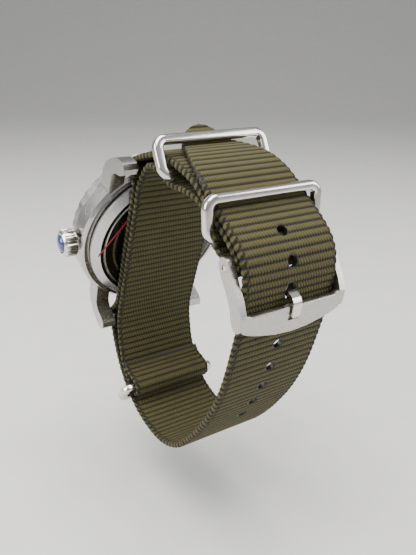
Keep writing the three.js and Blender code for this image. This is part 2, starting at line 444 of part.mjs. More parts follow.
// Short under-strap: starts behind the fold-back, passes behind the head and folds round the lower keeper.
const lowRingS = nearestOn(outer, [-20.6, -26.9]);
const flapRun = 1.5 * STRAP_T + LAYER_GAP; // webbing against the long strap
const LOW_BAR = 2 * STRAP_T + LAYER_GAP + 0.2 + WIRE / 2;
const lowBar = deep(lowRingS, LOW_BAR);
const lowNormal = pointAt(outer, lowRingS).normal;
const lowAway = THREE.MathUtils.radToDeg(Math.atan2(lowNormal[1], lowNormal[0]));
const UNDER = BEHIND - LAYER;
const shortLine = smooth([
  deep(ringS - 5.4, 2.5 * STRAP_T + 2 * LAYER_GAP), deep(ringS - 7.4, 2.5 * STRAP_T + 2 * LAYER_GAP),
  [6.0, 27.1], [3.4, 27.3], [1.0, 27.3], [-1.3, 27.6], [-3.7, 28.8], [-6.4, 29.6], [-8.9, 29.2], [-10.8, 27.5],
  fromHead([17.0, UNDER]), fromHead([12, UNDER]), fromHead([4, UNDER]), fromHead([-4, UNDER]), fromHead([-12, UNDER]), fromHead([-17.5, UNDER - 0.05]), fromHead([-21.0, UNDER - 0.75]),
  deep(lowRingS + 9.2, flapRun + 0.35), deep(lowRingS + 6, flapRun + 0.1), deep(lowRingS + 3, flapRun), deep(lowRingS + 1.0, flapRun), 
  ...circle(lowBar[0], lowBar[1], WIRE / 2 + 0.2 + STRAP_T / 2, 9, lowAway + 5, lowAway + 175),
  deep(lowRingS + 2.6, LOW_BAR + 0.95), deep(lowRingS + 5.0, flapRun + LAYER + 0.05), deep(lowRingS + 7.0, flapRun + LAYER + 0.1),
], 0.25);
add(watch, "short_strap", bandOf(shortLine, STRAP_W - 0.3), webbing);

// Melted bars that join two layers of webbing, in the gap between them.
const weld = (s, depth, length, thick) => {
  const p = pointAt(outer, s), at = deep(s, depth);
  return solidFrom(standOn(new THREE.BoxGeometry(STRAP_W - 4, length, thick), at, p.normal));
};
const WELD_T = LAYER_GAP - 0.18;
add(watch, "weld_fold", weld(ringS - 4.35, 2 * STRAP_T + 1.5 * LAYER_GAP, 0.7, WELD_T), fused);
add(watch, "weld_short_strap", weld(ringS - 6.2, 2 * STRAP_T + 1.5 * LAYER_GAP - 0.04, 1.0, WELD_T), fused);
add(watch, "weld_flap_end", weld(lowRingS + 6.5, flapRun + STRAP_T / 2 + 0.25, 0.6, WELD_T - 0.03), fused);

// ---------------------------------------------------------------- keeper rings
// A rounded rectangle of wire between the centres of its outer and inner bars, both given in the YZ plane.
function keeper(outerBar, innerBar) {
  const h = Math.hypot(outerBar[0] - innerBar[0], outerBar[1] - innerBar[1]);
  const hx = RING_W / 2, r = 2.1, w = WIRE, b = 0.55;
  const rounded = (x0, x1, y0, y1, rr) => {
    const p = [];
    for (const [cx, cy, a] of [[x1 - rr, y1 - rr, 0], [x0 + rr, y1 - rr, 90], [x0 + rr, y0 + rr, 180], [x1 - rr, y0 + rr, 270]])
      for (let i = 0; i <= 5; i++) p.push(V2(cx + rr * Math.cos(rad(a + 18 * i)), cy + rr * Math.sin(rad(a + 18 * i))));
    return p;
  };
  const shape = new THREE.Shape(rounded(-hx + b, hx - b, -h / 2 - w / 2 + b, h / 2 + w / 2 - b, r - b));
  shape.holes.push(new THREE.Path(rounded(-hx + w - b, hx - w + b, -h / 2 + w / 2 - b, h / 2 - w / 2 + b, r - w + b + 0.3).reverse()));
  const g = new THREE.ExtrudeGeometry(shape, { depth: w - 2 * b, bevelEnabled: true, bevelThickness: b, bevelSize: b, bevelSegments: 2, curveSegments: 6 }).translate(0, 0, -(w - 2 * b) / 2);
  const up = new THREE.Vector3(0, outerBar[0] - innerBar[0], outerBar[1] - innerBar[1]).normalize(), x = new THREE.Vector3(1, 0, 0);
  const m = new THREE.Matrix4().makeBasis(x, up, new THREE.Vector3().crossVectors(x, up)).setPosition(0, (outerBar[0] + innerBar[0]) / 2, (outerBar[1] + innerBar[1]) / 2);
  return solidFrom(g.applyMatrix4(m));
}
const keeperOuter = deep(ringTopS, -UP), keeperInner = deep(ringS, RING_DEPTH);
const RING_H = Math.hypot(keeperOuter[0] - keeperInner[0], keeperOuter[1] - keeperInner[1]);
add(watch, "buckle_keeper", keeper(keeperOuter, keeperInner), polished);
const tipOuter = deep(nearestOn(outer, [-2.0, 34.0]), -UP - 0.05), tipLean = rad(116);
add(watch, "tip_keeper", keeper(tipOuter, [tipOuter[0] - RING_H * Math.cos(tipLean), tipOuter[1] - RING_H * Math.sin(tipLean)]), polished);
add(watch, "flap_keeper", keeper(deep(lowRingS, -UP), lowBar), polished);

// ---------------------------------------------------------------- buckle
add(watch, "buckle_pin", rodX(PIN_R, -FRAME_W / 2 + 0.1, FRAME_W / 2 - 0.1, PIN_Y, PIN_Z, 20), polished);
const armSide = [
  ...circle(PIN_Y, PIN_Z + 0.4, 1.45, 12, 10, 190), [18.7, 16.3], [19.9, 14.6], [20.9, 12.9], [21.5, 11.2], [21.75, 9.6], [22.1, 8.7], [22.8, 8.1], [23.55, 8.05], [23.95, 8.35], [24.25, 9.6], [24.45, 11.2], [23.7, 13.4], [22.3, 15.8],
];
const armHole = circle(PIN_Y, PIN_Z, PIN_R + 0.05, 20).reverse();
let frame = sideExtrude(armSide, FRAME_W / 2 - ARM_T, FRAME_W / 2, [armHole]).add(sideExtrude(armSide, -FRAME_W / 2, -FRAME_W / 2 + ARM_T, [armHole]));
// Front plate: a wide bar with a bowed lower edge, lying just off the webbing.
const plateTop = [23.9, 10.9], plateDown = [-0.145, -0.99];
const w2 = FRAME_W / 2;
const plateShape = [
  [-w2, 0.3], [-w2 + ARM_T + 0.5, 0.3], [-w2 + ARM_T + 1.2, 0.0], [w2 - ARM_T - 1.2, 0], [w2 - ARM_T - 0.5, 0.3], [w2, 0.3],
  [w2, -1.5], [w2 - 0.25, -2.2], [w2 - 0.8, -2.95], [w2 - 1.8, -3.5], [w2 - 3.2, -3.95], [w2 - 4.9, -4.4], [w2 - 7.9, -5.0], [0, -5.25],
  [-w2 + 7.9, -5.0], [-w2 + 4.9, -4.4], [-w2 + 3.2, -3.95], [-w2 + 1.8, -3.5], [-w2 + 0.8, -2.95], [-w2 + 0.25, -2.2], [-w2, -1.5],
];
const down = new THREE.Vector3(0, plateDown[0], plateDown[1]).normalize().negate(), ex = new THREE.Vector3(1, 0, 0);
const plateOut = new THREE.Vector3().crossVectors(ex, down);
const plateGeo = new THREE.ExtrudeGeometry(new THREE.Shape(plateShape.map(([x, y]) => V2(x, y))), { depth: PLATE_T - 0.6, bevelEnabled: true, bevelThickness: 0.3, bevelSize: 0.25, bevelOffset: -0.25, bevelSegments: 2 })
  .translate(0, 0, -(PLATE_T - 0.6) / 2);
const onPlate = new THREE.Matrix4().makeBasis(ex, down, plateOut).setPosition(0, plateTop[0], plateTop[1]);
// The end of the tongue lies in a seat sunk into the face of the plate.
const seat = new THREE.BoxGeometry(TONGUE_W + 0.6, 3.2, 1).translate(0, -1.1, -(PLATE_T / 2 - SEAT_D + 0.5));
frame = frame.add(solidFrom(plateGeo.applyMatrix4(onPlate)).subtract(solidFrom(seat.applyMatrix4(onPlate))));
add(watch, "buckle_frame", frame, polished);
// Tongue: an eye round the pin and a bar that comes out through the strap and rests on the plate.
const tongueLine = smooth([[PIN_Y + 0.55, PIN_Z - 1.0], [20.75, 15.6], [21.35, 14.1], [22.2, 13.1], [23.15, 12.55], [24.0, 12.05], [24.45, 11.35], [24.46, 10.6], [24.36, 9.9], [24.24, 9.0]], 0.45);
const tonguePoly = [...offset(tongueLine, 0.52), ...offset(tongueLine, -0.52).reverse()];
let tongue = sideExtrude(tonguePoly, -TONGUE_W / 2, TONGUE_W / 2).add(rodX(1.4, -TONGUE_W / 2, TONGUE_W / 2, PIN_Y, PIN_Z, 24))
  .subtract(rodX(PIN_R + RUN, -TONGUE_W, TONGUE_W, PIN_Y, PIN_Z, 20));
const tipPoint = tongueLine[tongueLine.length - 1];
tongue = tongue.add(rodX(0.52, -TONGUE_W / 2 + 0.25, TONGUE_W / 2 - 0.25, tipPoint[0], tipPoint[1], 16));
add(watch, "buckle_tongue", tongue, polished);

export default watch;
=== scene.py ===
import json
import math

import bpy
import numpy as np
from mathutils import Matrix, Vector

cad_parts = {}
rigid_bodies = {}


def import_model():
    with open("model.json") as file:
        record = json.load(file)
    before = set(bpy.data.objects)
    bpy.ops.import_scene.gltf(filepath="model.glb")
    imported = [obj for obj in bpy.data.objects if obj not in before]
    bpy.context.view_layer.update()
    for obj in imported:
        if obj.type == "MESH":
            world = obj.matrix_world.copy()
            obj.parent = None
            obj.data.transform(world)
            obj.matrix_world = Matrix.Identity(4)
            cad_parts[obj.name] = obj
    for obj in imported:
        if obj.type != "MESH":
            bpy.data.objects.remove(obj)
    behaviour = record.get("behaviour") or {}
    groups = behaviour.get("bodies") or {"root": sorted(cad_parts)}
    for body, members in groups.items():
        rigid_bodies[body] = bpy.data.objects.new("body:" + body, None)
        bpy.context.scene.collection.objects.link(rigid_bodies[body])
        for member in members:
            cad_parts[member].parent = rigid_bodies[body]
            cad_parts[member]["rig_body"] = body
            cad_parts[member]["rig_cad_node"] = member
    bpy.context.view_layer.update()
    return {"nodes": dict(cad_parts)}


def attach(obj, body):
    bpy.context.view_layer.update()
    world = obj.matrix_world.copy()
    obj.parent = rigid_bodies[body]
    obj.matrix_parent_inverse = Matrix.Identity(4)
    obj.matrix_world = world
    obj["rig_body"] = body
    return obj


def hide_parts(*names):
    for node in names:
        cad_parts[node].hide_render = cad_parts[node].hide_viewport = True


bl_info = {
    "name": "Dive watch on a pull-through strap",
    "version": (1, 0, 0),
    "blender": (4, 5, 0),
    "location": "View3D > Sidebar > Dive Watch",
    "description": "Builds the finished surfaces of a dive watch on a ribbed one-piece strap around its solid frame",
    "category": "Add Mesh",
}

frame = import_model()
MM = 0.001

# The head's own frame: x to the crown, y to 12 o'clock, z out through the dial.
HEAD = Matrix.Translation((0, -22.8 * MM, 10.3 * MM)) @ Matrix.Rotation(math.radians(70), 4, "X")


# ------------------------------------------------------------------ settings
class WatchStrapSettings(bpy.types.PropertyGroup):
    """Sizes of the webbing."""
    width: bpy.props.FloatProperty(name="Width", description="Width of the webbing", default=20.0 * MM, unit="LENGTH", precision=5)
    thickness: bpy.props.FloatProperty(name="Thickness", description="Thickness over the ribs", default=1.2 * MM, unit="LENGTH",
        precision=5)
    rib_pitch: bpy.props.FloatProperty(name="Rib pitch", description="Distance from rib to rib along the strap", default=1.38 * MM,
        unit="LENGTH", precision=5)
    rib_depth: bpy.props.FloatProperty(name="Rib depth", description="Depth of the valley between two ribs on one face",
        default=0.2 * MM, unit="LENGTH", precision=5)
    hole_radius: bpy.props.FloatProperty(name="Hole radius", description="Radius of a punched hole", default=1.0 * MM,
        unit="LENGTH", precision=5)
    hole_pitch: bpy.props.FloatProperty(name="Hole pitch", description="Distance from hole to hole", default=5.55 * MM,
        unit="LENGTH", precision=5)
    tongue_at: bpy.props.FloatProperty(name="Hole in use", description="Distance of the hole in use from the tip",
        default=41.48 * MM, unit="LENGTH", precision=5)


class WatchWireSettings(bpy.types.PropertyGroup):
    """Sizes of the keeper rings."""
    length: bpy.props.FloatProperty(name="Ring length", description="Outer length of a keeper ring", default=25.0 * MM,
        unit="LENGTH", precision=5)
    wire: bpy.props.FloatProperty(name="Wire", description="Thickness of the ring wire", default=1.8 * MM, unit="LENGTH",
        precision=5)
    corner: bpy.props.FloatProperty(name="Corner radius", description="Outer corner radius of a ring", default=2.6 * MM,
        unit="LENGTH", precision=5)


class WatchColourSettings(bpy.types.PropertyGroup):
    """Colours of the finishes."""
    olive: bpy.props.FloatVectorProperty(name="Rib", description="Crown of a rib of the webbing", subtype="COLOR", size=3,
        default=(0.066, 0.057, 0.017))
    # Valley: painted shade in the valley between two ribs, far darker than the rib's crown.
    valley_shade: bpy.props.FloatVectorProperty(name="Valley", description="Thread in the valley between two ribs", subtype="COLOR",
        size=3, default=(0.005, 0.0048, 0.0018))
    steel: bpy.props.FloatVectorProperty(name="Steel", description="Polished steel", subtype="COLOR", size=3,
        default=(0.74, 0.72, 0.68))
    blue: bpy.props.FloatVectorProperty(name="Cabochon", description="Stone in the crown", subtype="COLOR", size=3,
        default=(0.01, 0.03, 0.16))
    red: bpy.props.FloatVectorProperty(name="Line", description="Printed line on the back", subtype="COLOR", size=3,
        default=(0.42, 0.02, 0.045))


# ------------------------------------------------------------------ small tools
def to_mode(mode):
    bpy.ops.object.mode_set(mode=mode)


def edit_all():
    to_mode("EDIT")
    bpy.ops.mesh.select_all(action="SELECT")


def clear_selection():
    if bpy.context.object and bpy.context.object.mode != "OBJECT":
        to_mode("OBJECT")
    bpy.ops.object.select_all(action="DESELECT")


def pick(piece):
    clear_selection()
    piece.select_set(True)
    bpy.context.view_layer.objects.active = piece


def settle(piece, matrix=None):
    """Puts the piece's place into its mesh."""
    pick(piece)
    if matrix is not None:
        piece.matrix_world = matrix @ piece.matrix_world
    bpy.ops.object.transform_apply(location=True, rotation=True, scale=True)
    return piece


def named(name, material=None):
    piece = bpy.context.object
    piece.name = piece.data.name = name
    if material is not None:
        paint(piece, material)
    return piece


def paint(piece, material):
    piece.data.materials.clear()
    piece.data.materials.append(material)


def apply_modifier(piece, kind, **values):
    pick(piece)
    m = piece.modifiers.new(kind.title(), kind)
    for key, value in values.items():
        setattr(m, key, value)
    bpy.ops.object.modifier_apply(modifier=m.name)


def close_and_face_out(piece, threshold=2e-6):
    pick(piece)
    edit_all()
    bpy.ops.mesh.remove_doubles(threshold=threshold)
    bpy.ops.mesh.normals_make_consistent(inside=False)
    to_mode("OBJECT")


def soften(piece, width, segments=2, corner=28, smooth=35):
    """Breaks the sharp edges and shades the faces smooth."""
    if width:
        apply_modifier(piece, "BEVEL", width=width, segments=segments, limit_method="ANGLE", angle_limit=math.radians(corner),
                       use_clamp_overlap=True, miter_outer="MITER_ARC")
    pick(piece)
    bpy.ops.object.shade_smooth_by_angle(angle=math.radians(smooth))
    apply_modifier(piece, "WEIGHTED_NORMAL", keep_sharp=True, weight=60)
    return piece


def stand_for(piece, node):
    """The piece takes the place of a CAD node, on the same body."""
    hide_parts(node)
    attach(piece, frame["nodes"][node]["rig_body"])
    return piece


def machined(node, name, material, width=0.08 * MM, segments=2, corner=28, smooth=35):
    """A machined part: the solid's copy with its facets joined and every edge broken."""
    clear_selection()
    source = frame["nodes"][node]
    source.select_set(True)
    bpy.context.view_layer.objects.active = source
    bpy.ops.object.duplicate()
    piece = bpy.context.object
    bpy.ops.object.parent_clear(type="CLEAR_KEEP_TRANSFORM")
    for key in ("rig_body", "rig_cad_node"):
        del piece[key]
    piece.name = piece.data.name = name
    bpy.ops.mesh.customdata_custom_splitnormals_clear()
    edit_all()
    bpy.ops.mesh.remove_doubles(threshold=1.5e-6)
    bpy.ops.mesh.dissolve_limited(angle_limit=math.radians(0.6))
    to_mode("OBJECT")
    paint(piece, material)
    soften(piece, width, segments, corner, smooth)
    return stand_for(piece, node)


# ------------------------------------------------------------------ materials
def group_tree(name, inputs, outputs):
    tree = bpy.data.node_groups.new(name, "ShaderNodeTree")
    for label, kind, default in inputs:
        socket = tree.interface.new_socket(name=label, in_out="INPUT", socket_type=kind)
        if default is not None:
            socket.default_value = default
    for label, kind in outputs:
        tree.interface.new_socket(name=label, in_out="OUTPUT", socket_type=kind)
    return tree, tree.nodes.new("NodeGroupInput"), tree.nodes.new("NodeGroupOutput")


class Wiring:
    """Short hand for adding nodes and joining them."""
    def __init__(self, tree):
        self.tree = tree

    def node(self, kind, **values):
        n = self.tree.nodes.new(kind)
        for key, value in values.items():
            setattr(n, key, value)
        return n

    def link(self, a, b):
        self.tree.links.new(a, b)

    def mapping(self, vector, **values):
        n = self.node("ShaderNodeMapping", vector_type="POINT")
        self.link(vector, n.inputs["Vector"])
        for key, value in values.items():
            n.inputs[key].default_value = value
        return n.outputs[0]

    def group(self, name, vector, **values):
        """A shared effect: its outputs, with its vector joined and its own values set."""
        n = self.node("ShaderNodeGroup")
        n.node_tree = GROUPS[name]
        self.link(vector, n.inputs["Vector"])
        for key, value in values.items():
            n.inputs[key].default_value = value
        return n.outputs

    def maths(self, operation, a, b=None, c=None, clamp=False):
        n = self.node("ShaderNodeMath", operation=operation, use_clamp=clamp)
        for i, v in enumerate((a, b, c)):
            if v is None:
                continue
            if isinstance(v, (int, float)):
                n.inputs[i].default_value = v
            else:
                self.link(v, n.inputs[i])
        return n.outputs[0]

    def noise(self, vector, scale, detail=2.0, rough=0.5):
        n = self.node("ShaderNodeTexNoise")
        self.link(vector, n.inputs["Vector"])
        if isinstance(scale, float):
            n.inputs["Scale"].default_value = scale
        else:
            self.link(scale, n.inputs["Scale"])
        n.inputs["Detail"].default_value = detail
        n.inputs["Roughness"].default_value = rough
        return n.outputs["Fac"]

    def span(self, value, a, b, c, d):
        n = self.node("ShaderNodeMapRange")
        self.link(value, n.inputs["Value"])
        for i, v in zip((1, 2, 3, 4), (a, b, c, d)):
            n.inputs[i].default_value = v
        return n.outputs[0]

    def mix(self, factor, a, b):
        a, b = (v if isinstance(v, (bpy.types.NodeSocket, float, int)) else tuple(v) for v in (a, b))
        n = self.node("ShaderNodeMix", data_type="RGBA")
        for socket, v in ((n.inputs["Factor"], factor), (n.inputs[6], a), (n.inputs[7], b)):
            if isinstance(v, (int, float)):
                socket.default_value = v
            elif isinstance(v, (tuple, list)):
                socket.default_value = (*v[:3], 1.0)
            else:
                self.link(v, socket)
        return n.outputs[2]


def build_grain_group():
    """Fine grinding lines, as a height and as a mask. The vector is stretched before it comes in."""
    tree, start, end = group_tree("grinding_lines", [("Vector", "NodeSocketVector", None), ("Fineness", "NodeSocketFloat", 900.0)],
                                  [("Height", "NodeSocketFloat"), ("Mask", "NodeSocketFloat")])
    w = Wiring(tree)
    n = w.noise(start.outputs["Vector"], start.outputs["Fineness"], 5.0, 0.65)
    w.link(n, end.inputs["Height"])
    w.link(w.span(n, 0.35, 0.65, 0.0, 1.0), end.inputs["Mask"])
    return tree


def build_handling_group():
    """Faint smudges from handling, as a mask."""
    tree, start, end = group_tree("handling", [("Vector", "NodeSocketVector", None), ("Amount", "NodeSocketFloat", 1.0)],
                                  [("Smudge", "NodeSocketFloat")])
    w = Wiring(tree)
    broad = w.noise(start.outputs["Vector"], 260.0, 3.0, 0.6)
    w.link(w.maths("MULTIPLY", w.span(broad, 0.42, 0.72, 0.0, 1.0), start.outputs["Amount"]), end.inputs["Smudge"])
    return tree


def build_weave_group():
    """Ribbed webbing laid out in millimetres: x across the strap, y along it."""
    tree, start, end = group_tree("ribbed_weave", [("Vector", "NodeSocketVector", None), ("Rib pitch", "NodeSocketFloat", 1.38),
        ("Thread pitch", "NodeSocketFloat", 0.6), ("Half width", "NodeSocketFloat", 10.0)],
                                  [("Ridge", "NodeSocketFloat"), ("Painted_gap_shade", "NodeSocketFloat"), ("Height", "NodeSocketFloat")])
    w = Wiring(tree)
    sep = w.node("ShaderNodeSeparateXYZ")
    w.link(start.outputs["Vector"], sep.inputs[0])
    x, y = sep.outputs["X"], sep.outputs["Y"]
    rib = w.maths("DIVIDE", y, start.outputs["Rib pitch"])
    ridge = w.maths("ABSOLUTE", w.maths("COSINE", w.maths("MULTIPLY", rib, math.pi)))
    number = w.maths("ROUND", rib)
    part = w.maths("SUBTRACT", rib, number)  # from -0.5 to 0.5 over one rib
    # Each rib is a row of slanting stitches, set half a stitch over from the one before.
    lane = w.maths("ADD", w.maths("DIVIDE", x, start.outputs["Thread pitch"]),
        w.maths("ADD", w.maths("MULTIPLY", part, 0.85), w.maths("MULTIPLY", number, 0.5)))
    stitch = w.maths("COSINE", w.maths("MULTIPLY", lane, 2 * math.pi))
    thread = w.span(stitch, -1.0, 0.55, 0.0, 1.0)
    # Painted shade in the gaps between the stitches, widest down in the valley.
    gap_shade = w.maths("MULTIPLY", w.span(stitch, -0.95, 0.1, 1.0, 0.0), w.span(ridge, 0.1, 0.95, 1.0, 0.12))
    # Edge loops, with painted shade between them, added to the gap shade.
    inset = w.maths("SUBTRACT", start.outputs["Half width"], w.maths("ABSOLUTE", x))
    edge = w.span(inset, 0.75, 1.35, 1.0, 0.0)
    curl = w.noise(start.outputs["Vector"], 1.35, 1.0, 0.6)
    loops = w.span(w.maths("ADD", w.maths("COSINE", w.maths("MULTIPLY", w.maths("ADD", rib, w.maths("MULTIPLY", inset, 0.75)),
        2 * math.pi)), w.span(curl, 0.3, 0.7, -0.9, 0.9)), -0.5, 0.6, 1.0, 0.0)
    w.link(ridge, end.inputs["Ridge"])
    w.link(w.maths("MAXIMUM", w.maths("MULTIPLY", gap_shade, w.maths("SUBTRACT", 1.0, edge)), w.maths("MULTIPLY", edge, loops),
        clamp=True), end.inputs["Painted_gap_shade"])
    height = w.maths("ADD", w.maths("MULTIPLY", thread, 0.6), w.maths("MULTIPLY",
        w.maths("SUBTRACT", 1.0, w.span(ridge, 0.0, 0.75, 1.0, 0.0)), 0.4))
    w.link(w.maths("SUBTRACT", height, w.maths("MULTIPLY", w.maths("MULTIPLY", edge, loops), 0.8)), end.inputs["Height"])
    return tree


def new_material(name):
    m = bpy.data.materials.new(name)
    m.use_nodes = True
    tree = m.node_tree
    shader = next(n for n in tree.nodes if n.type == "BSDF_PRINCIPLED")
    return m, Wiring(tree), shader


def own_vector(w, in_head=False):
    """Object coordinates, turned into the head's frame if asked."""
    out = w.node("ShaderNodeTexCoord").outputs["Object"]
    if in_head:
        out = w.mapping(out, Location=-HEAD.translation)
        out = w.mapping(out, Rotation=(-math.radians(70), 0, 0))
    return out


def bump(w, shader, height, strength, distance):
    b = w.node("ShaderNodeBump")
    b.inputs["Strength"].default_value = strength
    b.inputs["Distance"].default_value = distance
    w.link(height, b.inputs["Height"])
    w.link(b.outputs["Normal"], shader.inputs["Normal"])


def metal(name, colour, roughness, grain, stretch, smudge=0.05, in_head=False, fineness=900.0, depth=0.000003):
    """Steel or plated metal with grinding lines and a trace of handling."""
    m, w, s = new_material(name)
    s.inputs["Metallic"].default_value = 1.0
    raw = own_vector(w, in_head)
    lines = w.group("grain", w.mapping(raw, Scale=stretch), Fineness=fineness)
    touch = w.maths("MULTIPLY", w.group("handling", raw)["Smudge"], smudge)
    w.link(w.maths("ADD", w.maths("MULTIPLY", lines["Mask"], grain * 0.35), w.maths("ADD", touch, roughness)),
        s.inputs["Roughness"])
    dull = tuple(c * 0.86 for c in colour)
    w.link(w.mix(w.maths("MULTIPLY", lines["Mask"], 0.6), colour, dull), s.inputs["Base Color"])
    bump(w, s, lines["Height"], min(1.0, grain * 1.5), depth)
    return m


def webbing_material(colours):
    m, w, s = new_material("ribbed_nylon")
    uv = w.node("ShaderNodeUVMap", uv_map="weave")
    g = w.group("weave", uv.outputs[0])
    melt = w.node("ShaderNodeAttribute", attribute_name="melt", attribute_type="GEOMETRY").outputs["Fac"]
    drift = w.noise(uv.outputs[0], 0.35, 3.0, 0.6)
    fleck = w.noise(uv.outputs[0], 5.0, 2.0, 0.6)
    rib = w.mix(w.span(drift, 0.3, 0.7, 0.0, 1.0), colours.olive, tuple(c * 0.78 for c in colours.olive))
    rib = w.mix(w.span(fleck, 0.35, 0.75, 0.0, 0.55), rib, tuple(c * 1.7 for c in colours.olive))
    # Painted shade: the colour darkens from the rib's crown down into the valley.
    shade = w.mix(w.span(g["Ridge"], 0.05, 0.8, 0.0, 1.0), colours.valley_shade, rib)
    # Painted shade in the gaps between the stitches and between the edge loops.
    shade = w.mix(w.maths("MULTIPLY", g["Painted_gap_shade"], 0.9), shade, tuple(c * 0.45 for c in colours.valley_shade))
    shade = w.mix(w.maths("MULTIPLY", melt, 0.85, clamp=True), shade, (0.006, 0.006, 0.004))
    w.link(shade, s.inputs["Base Color"])
    w.link(w.maths("SUBTRACT", 0.82, w.maths("MULTIPLY", melt, 0.45)), s.inputs["Roughness"])
    s.inputs["Specular IOR Level"].default_value = 0.35
    s.inputs["Sheen Weight"].default_value = 0.04
    s.inputs["Sheen Roughness"].default_value = 0.4
    bump(w, s, w.maths("MULTIPLY", g["Height"], w.maths("SUBTRACT", 1.0, melt)), 0.9, 0.00016)
    return m


def plain_material(name, colour, roughness, speckle=0.3, metallic=0.0, coat=0.0, scale=1500.0):
    """Rubber, paint and moulded parts, with a fine even texture."""
    m, w, s = new_material(name)
    n = w.noise(own_vector(w), scale, 3.0, 0.6)
    w.link(w.mix(w.maths("MULTIPLY", w.span(n, 0.35, 0.7, 0.0, 1.0), speckle), colour, tuple(c * 0.6 for c in colour)),
        s.inputs["Base Color"])
    w.link(w.span(n, 0.3, 0.7, roughness - 0.05, roughness + 0.08), s.inputs["Roughness"])
    s.inputs["Metallic"].default_value = metallic
    s.inputs["Coat Weight"].default_value = coat
    s.inputs["Coat Roughness"].default_value = 0.05
    bump(w, s, n, 0.15, 0.00001)
    return m


def glass_material(name, colour, alpha):
    m, w, s = new_material(name)
    s.inputs["Base Color"].default_value = (*colour, 1)
    s.inputs["Alpha"].default_value = alpha
    s.inputs["Coat Weight"].default_value = 0.3
    s.inputs["Coat Roughness"].default_value = 0.02
    s.inputs["Specular IOR Level"].default_value = 0.5
    w.link(w.span(w.group("handling", own_vector(w))["Smudge"], 0.0, 1.0, 0.02, 0.08), s.inputs["Roughness"])
    return m


def back_material():
    """Case back: satin slopes, and a flat round the window coloured dark."""
    m, w, s = new_material("back_ring_steel")
    s.inputs["Metallic"].default_value = 1.0
    raw = own_vector(w, True)
    z, r = head_place(w, raw)[2:4]
    flat = w.maths("LESS_THAN", z, -1.985 * MM)
    g = w.group("grain", raw, Fineness=5200.0)
    w.link(w.maths("SUBTRACT", w.maths("ADD", 0.2, w.maths("MULTIPLY", g["Mask"], 0.1)), w.maths("MULTIPLY", flat, 0.12)),
        s.inputs["Roughness"])
    # One thin line round the window keeps the steel colour of the slopes.
    dark = w.maths("MULTIPLY", flat, w.maths("GREATER_THAN", w.maths("ABSOLUTE", w.maths("SUBTRACT", r, 11.75 * MM)), 0.25 * MM))
    w.link(w.mix(dark, w.mix(g["Mask"], (0.56, 0.56, 0.55), (0.48, 0.48, 0.47)), (0.075, 0.07, 0.058)), s.inputs["Base Color"])
    bump(w, s, g["Height"], 0.2, 0.000006)
    return m


def head_place(w, raw):
    """x, y, z, the distance from the dial's centre and the clock angle in minutes, in the head's frame."""
    sep = w.node("ShaderNodeSeparateXYZ")
    w.link(raw, sep.inputs[0])
    x, y, z = sep.outputs
    r = w.maths("SQRT", w.maths("ADD", w.maths("POWER", x, 2.0), w.maths("POWER", y, 2.0)))
    minutes = w.maths("MULTIPLY", w.maths("ARCTAN2", x, y), 30 / math.pi)
    return x, y, z, r, minutes


def mark_every(w, r, minutes, step, half):
    """A radial line of one width, every so many minutes."""
    t = w.maths("DIVIDE", minutes, step)
    off = w.maths("ABSOLUTE", w.maths("SUBTRACT", t, w.maths("ROUND", t)))
    return w.maths("LESS_THAN", w.maths("MULTIPLY", off, w.maths("MULTIPLY", r, step * math.pi / 30)), half)


def within(w, value, low, high):
    return w.maths("MULTIPLY", w.maths("GREATER_THAN", value, low), w.maths("LESS_THAN", value, high))


def marked_material(name, kind):
    """Black enamel with pale marks: raised plots on the dial, minute lines, the bezel's scale."""
    m, w, s = new_material(name)
    raw = own_vector(w, True)
    y, z, r, minutes = head_place(w, raw)[1:]
    if kind == "dial":
        mark = w.maths("GREATER_THAN", z, 4.45 * MM)
        lines = w.maths("MULTIPLY", mark_every(w, r, minutes, 1, 0.06 * MM), within(w, r, 12.75 * MM, 13.2 * MM))
        mark = w.maths("MAXIMUM", mark, lines)
    elif kind == "chapter":
        mark = w.maths("MAXIMUM", w.maths("MULTIPLY", mark_every(w, r, minutes, 1, 0.07 * MM), w.maths("LESS_THAN", z, 5.6 * MM)),
            mark_every(w, r, minutes, 5, 0.14 * MM))
    else:
        mark = w.maths("MAXIMUM", w.maths("MULTIPLY", mark_every(w, r, minutes, 1, 0.07 * MM),
            w.maths("GREATER_THAN", r, 16.55 * MM)), mark_every(w, r, minutes, 5, 0.16 * MM))
        mark = w.maths("MAXIMUM", mark, w.maths("MULTIPLY", mark_every(w, r, minutes, 60, 0.55 * MM),
            w.maths("GREATER_THAN", y, 0.0)))
    fine = w.noise(raw, 2600.0, 3.0, 0.6)
    w.link(w.mix(mark, w.mix(w.maths("MULTIPLY", fine, 0.5), (0.010, 0.011, 0.014), (0.02, 0.021, 0.025)), (0.66, 0.70, 0.58)),
        s.inputs["Base Color"])
    w.link(w.maths("ADD", 0.25, w.maths("MULTIPLY", mark, 0.3)), s.inputs["Roughness"])
    bump(w, s, w.maths("ADD", w.maths("MULTIPLY", fine, 0.2), mark), 0.25, 0.00002)
    return m


def striped_material(colour):
    """Broad watchmaker's stripes on fine steel."""
    m, w, s = new_material("striped_steel")
    s.inputs["Metallic"].default_value = 1.0
    raw = own_vector(w, True)
    x, y = head_place(w, raw)[:2]
    wave = w.maths("FRACT", w.maths("DIVIDE", w.maths("ADD", x, w.maths("MULTIPLY", y, 0.45)), 1.5 * MM))
    mask = w.group("grain", raw, Fineness=3500.0)["Mask"]
    w.link(w.mix(wave, colour, tuple(c * 0.62 for c in colour)), s.inputs["Base Color"])
    w.link(w.maths("ADD", w.maths("MULTIPLY", wave, 0.15), w.maths("ADD", 0.2, w.maths("MULTIPLY", mask, 0.1))),
        s.inputs["Roughness"])
    bump(w, s, wave, 0.35, 0.00003)
    return m


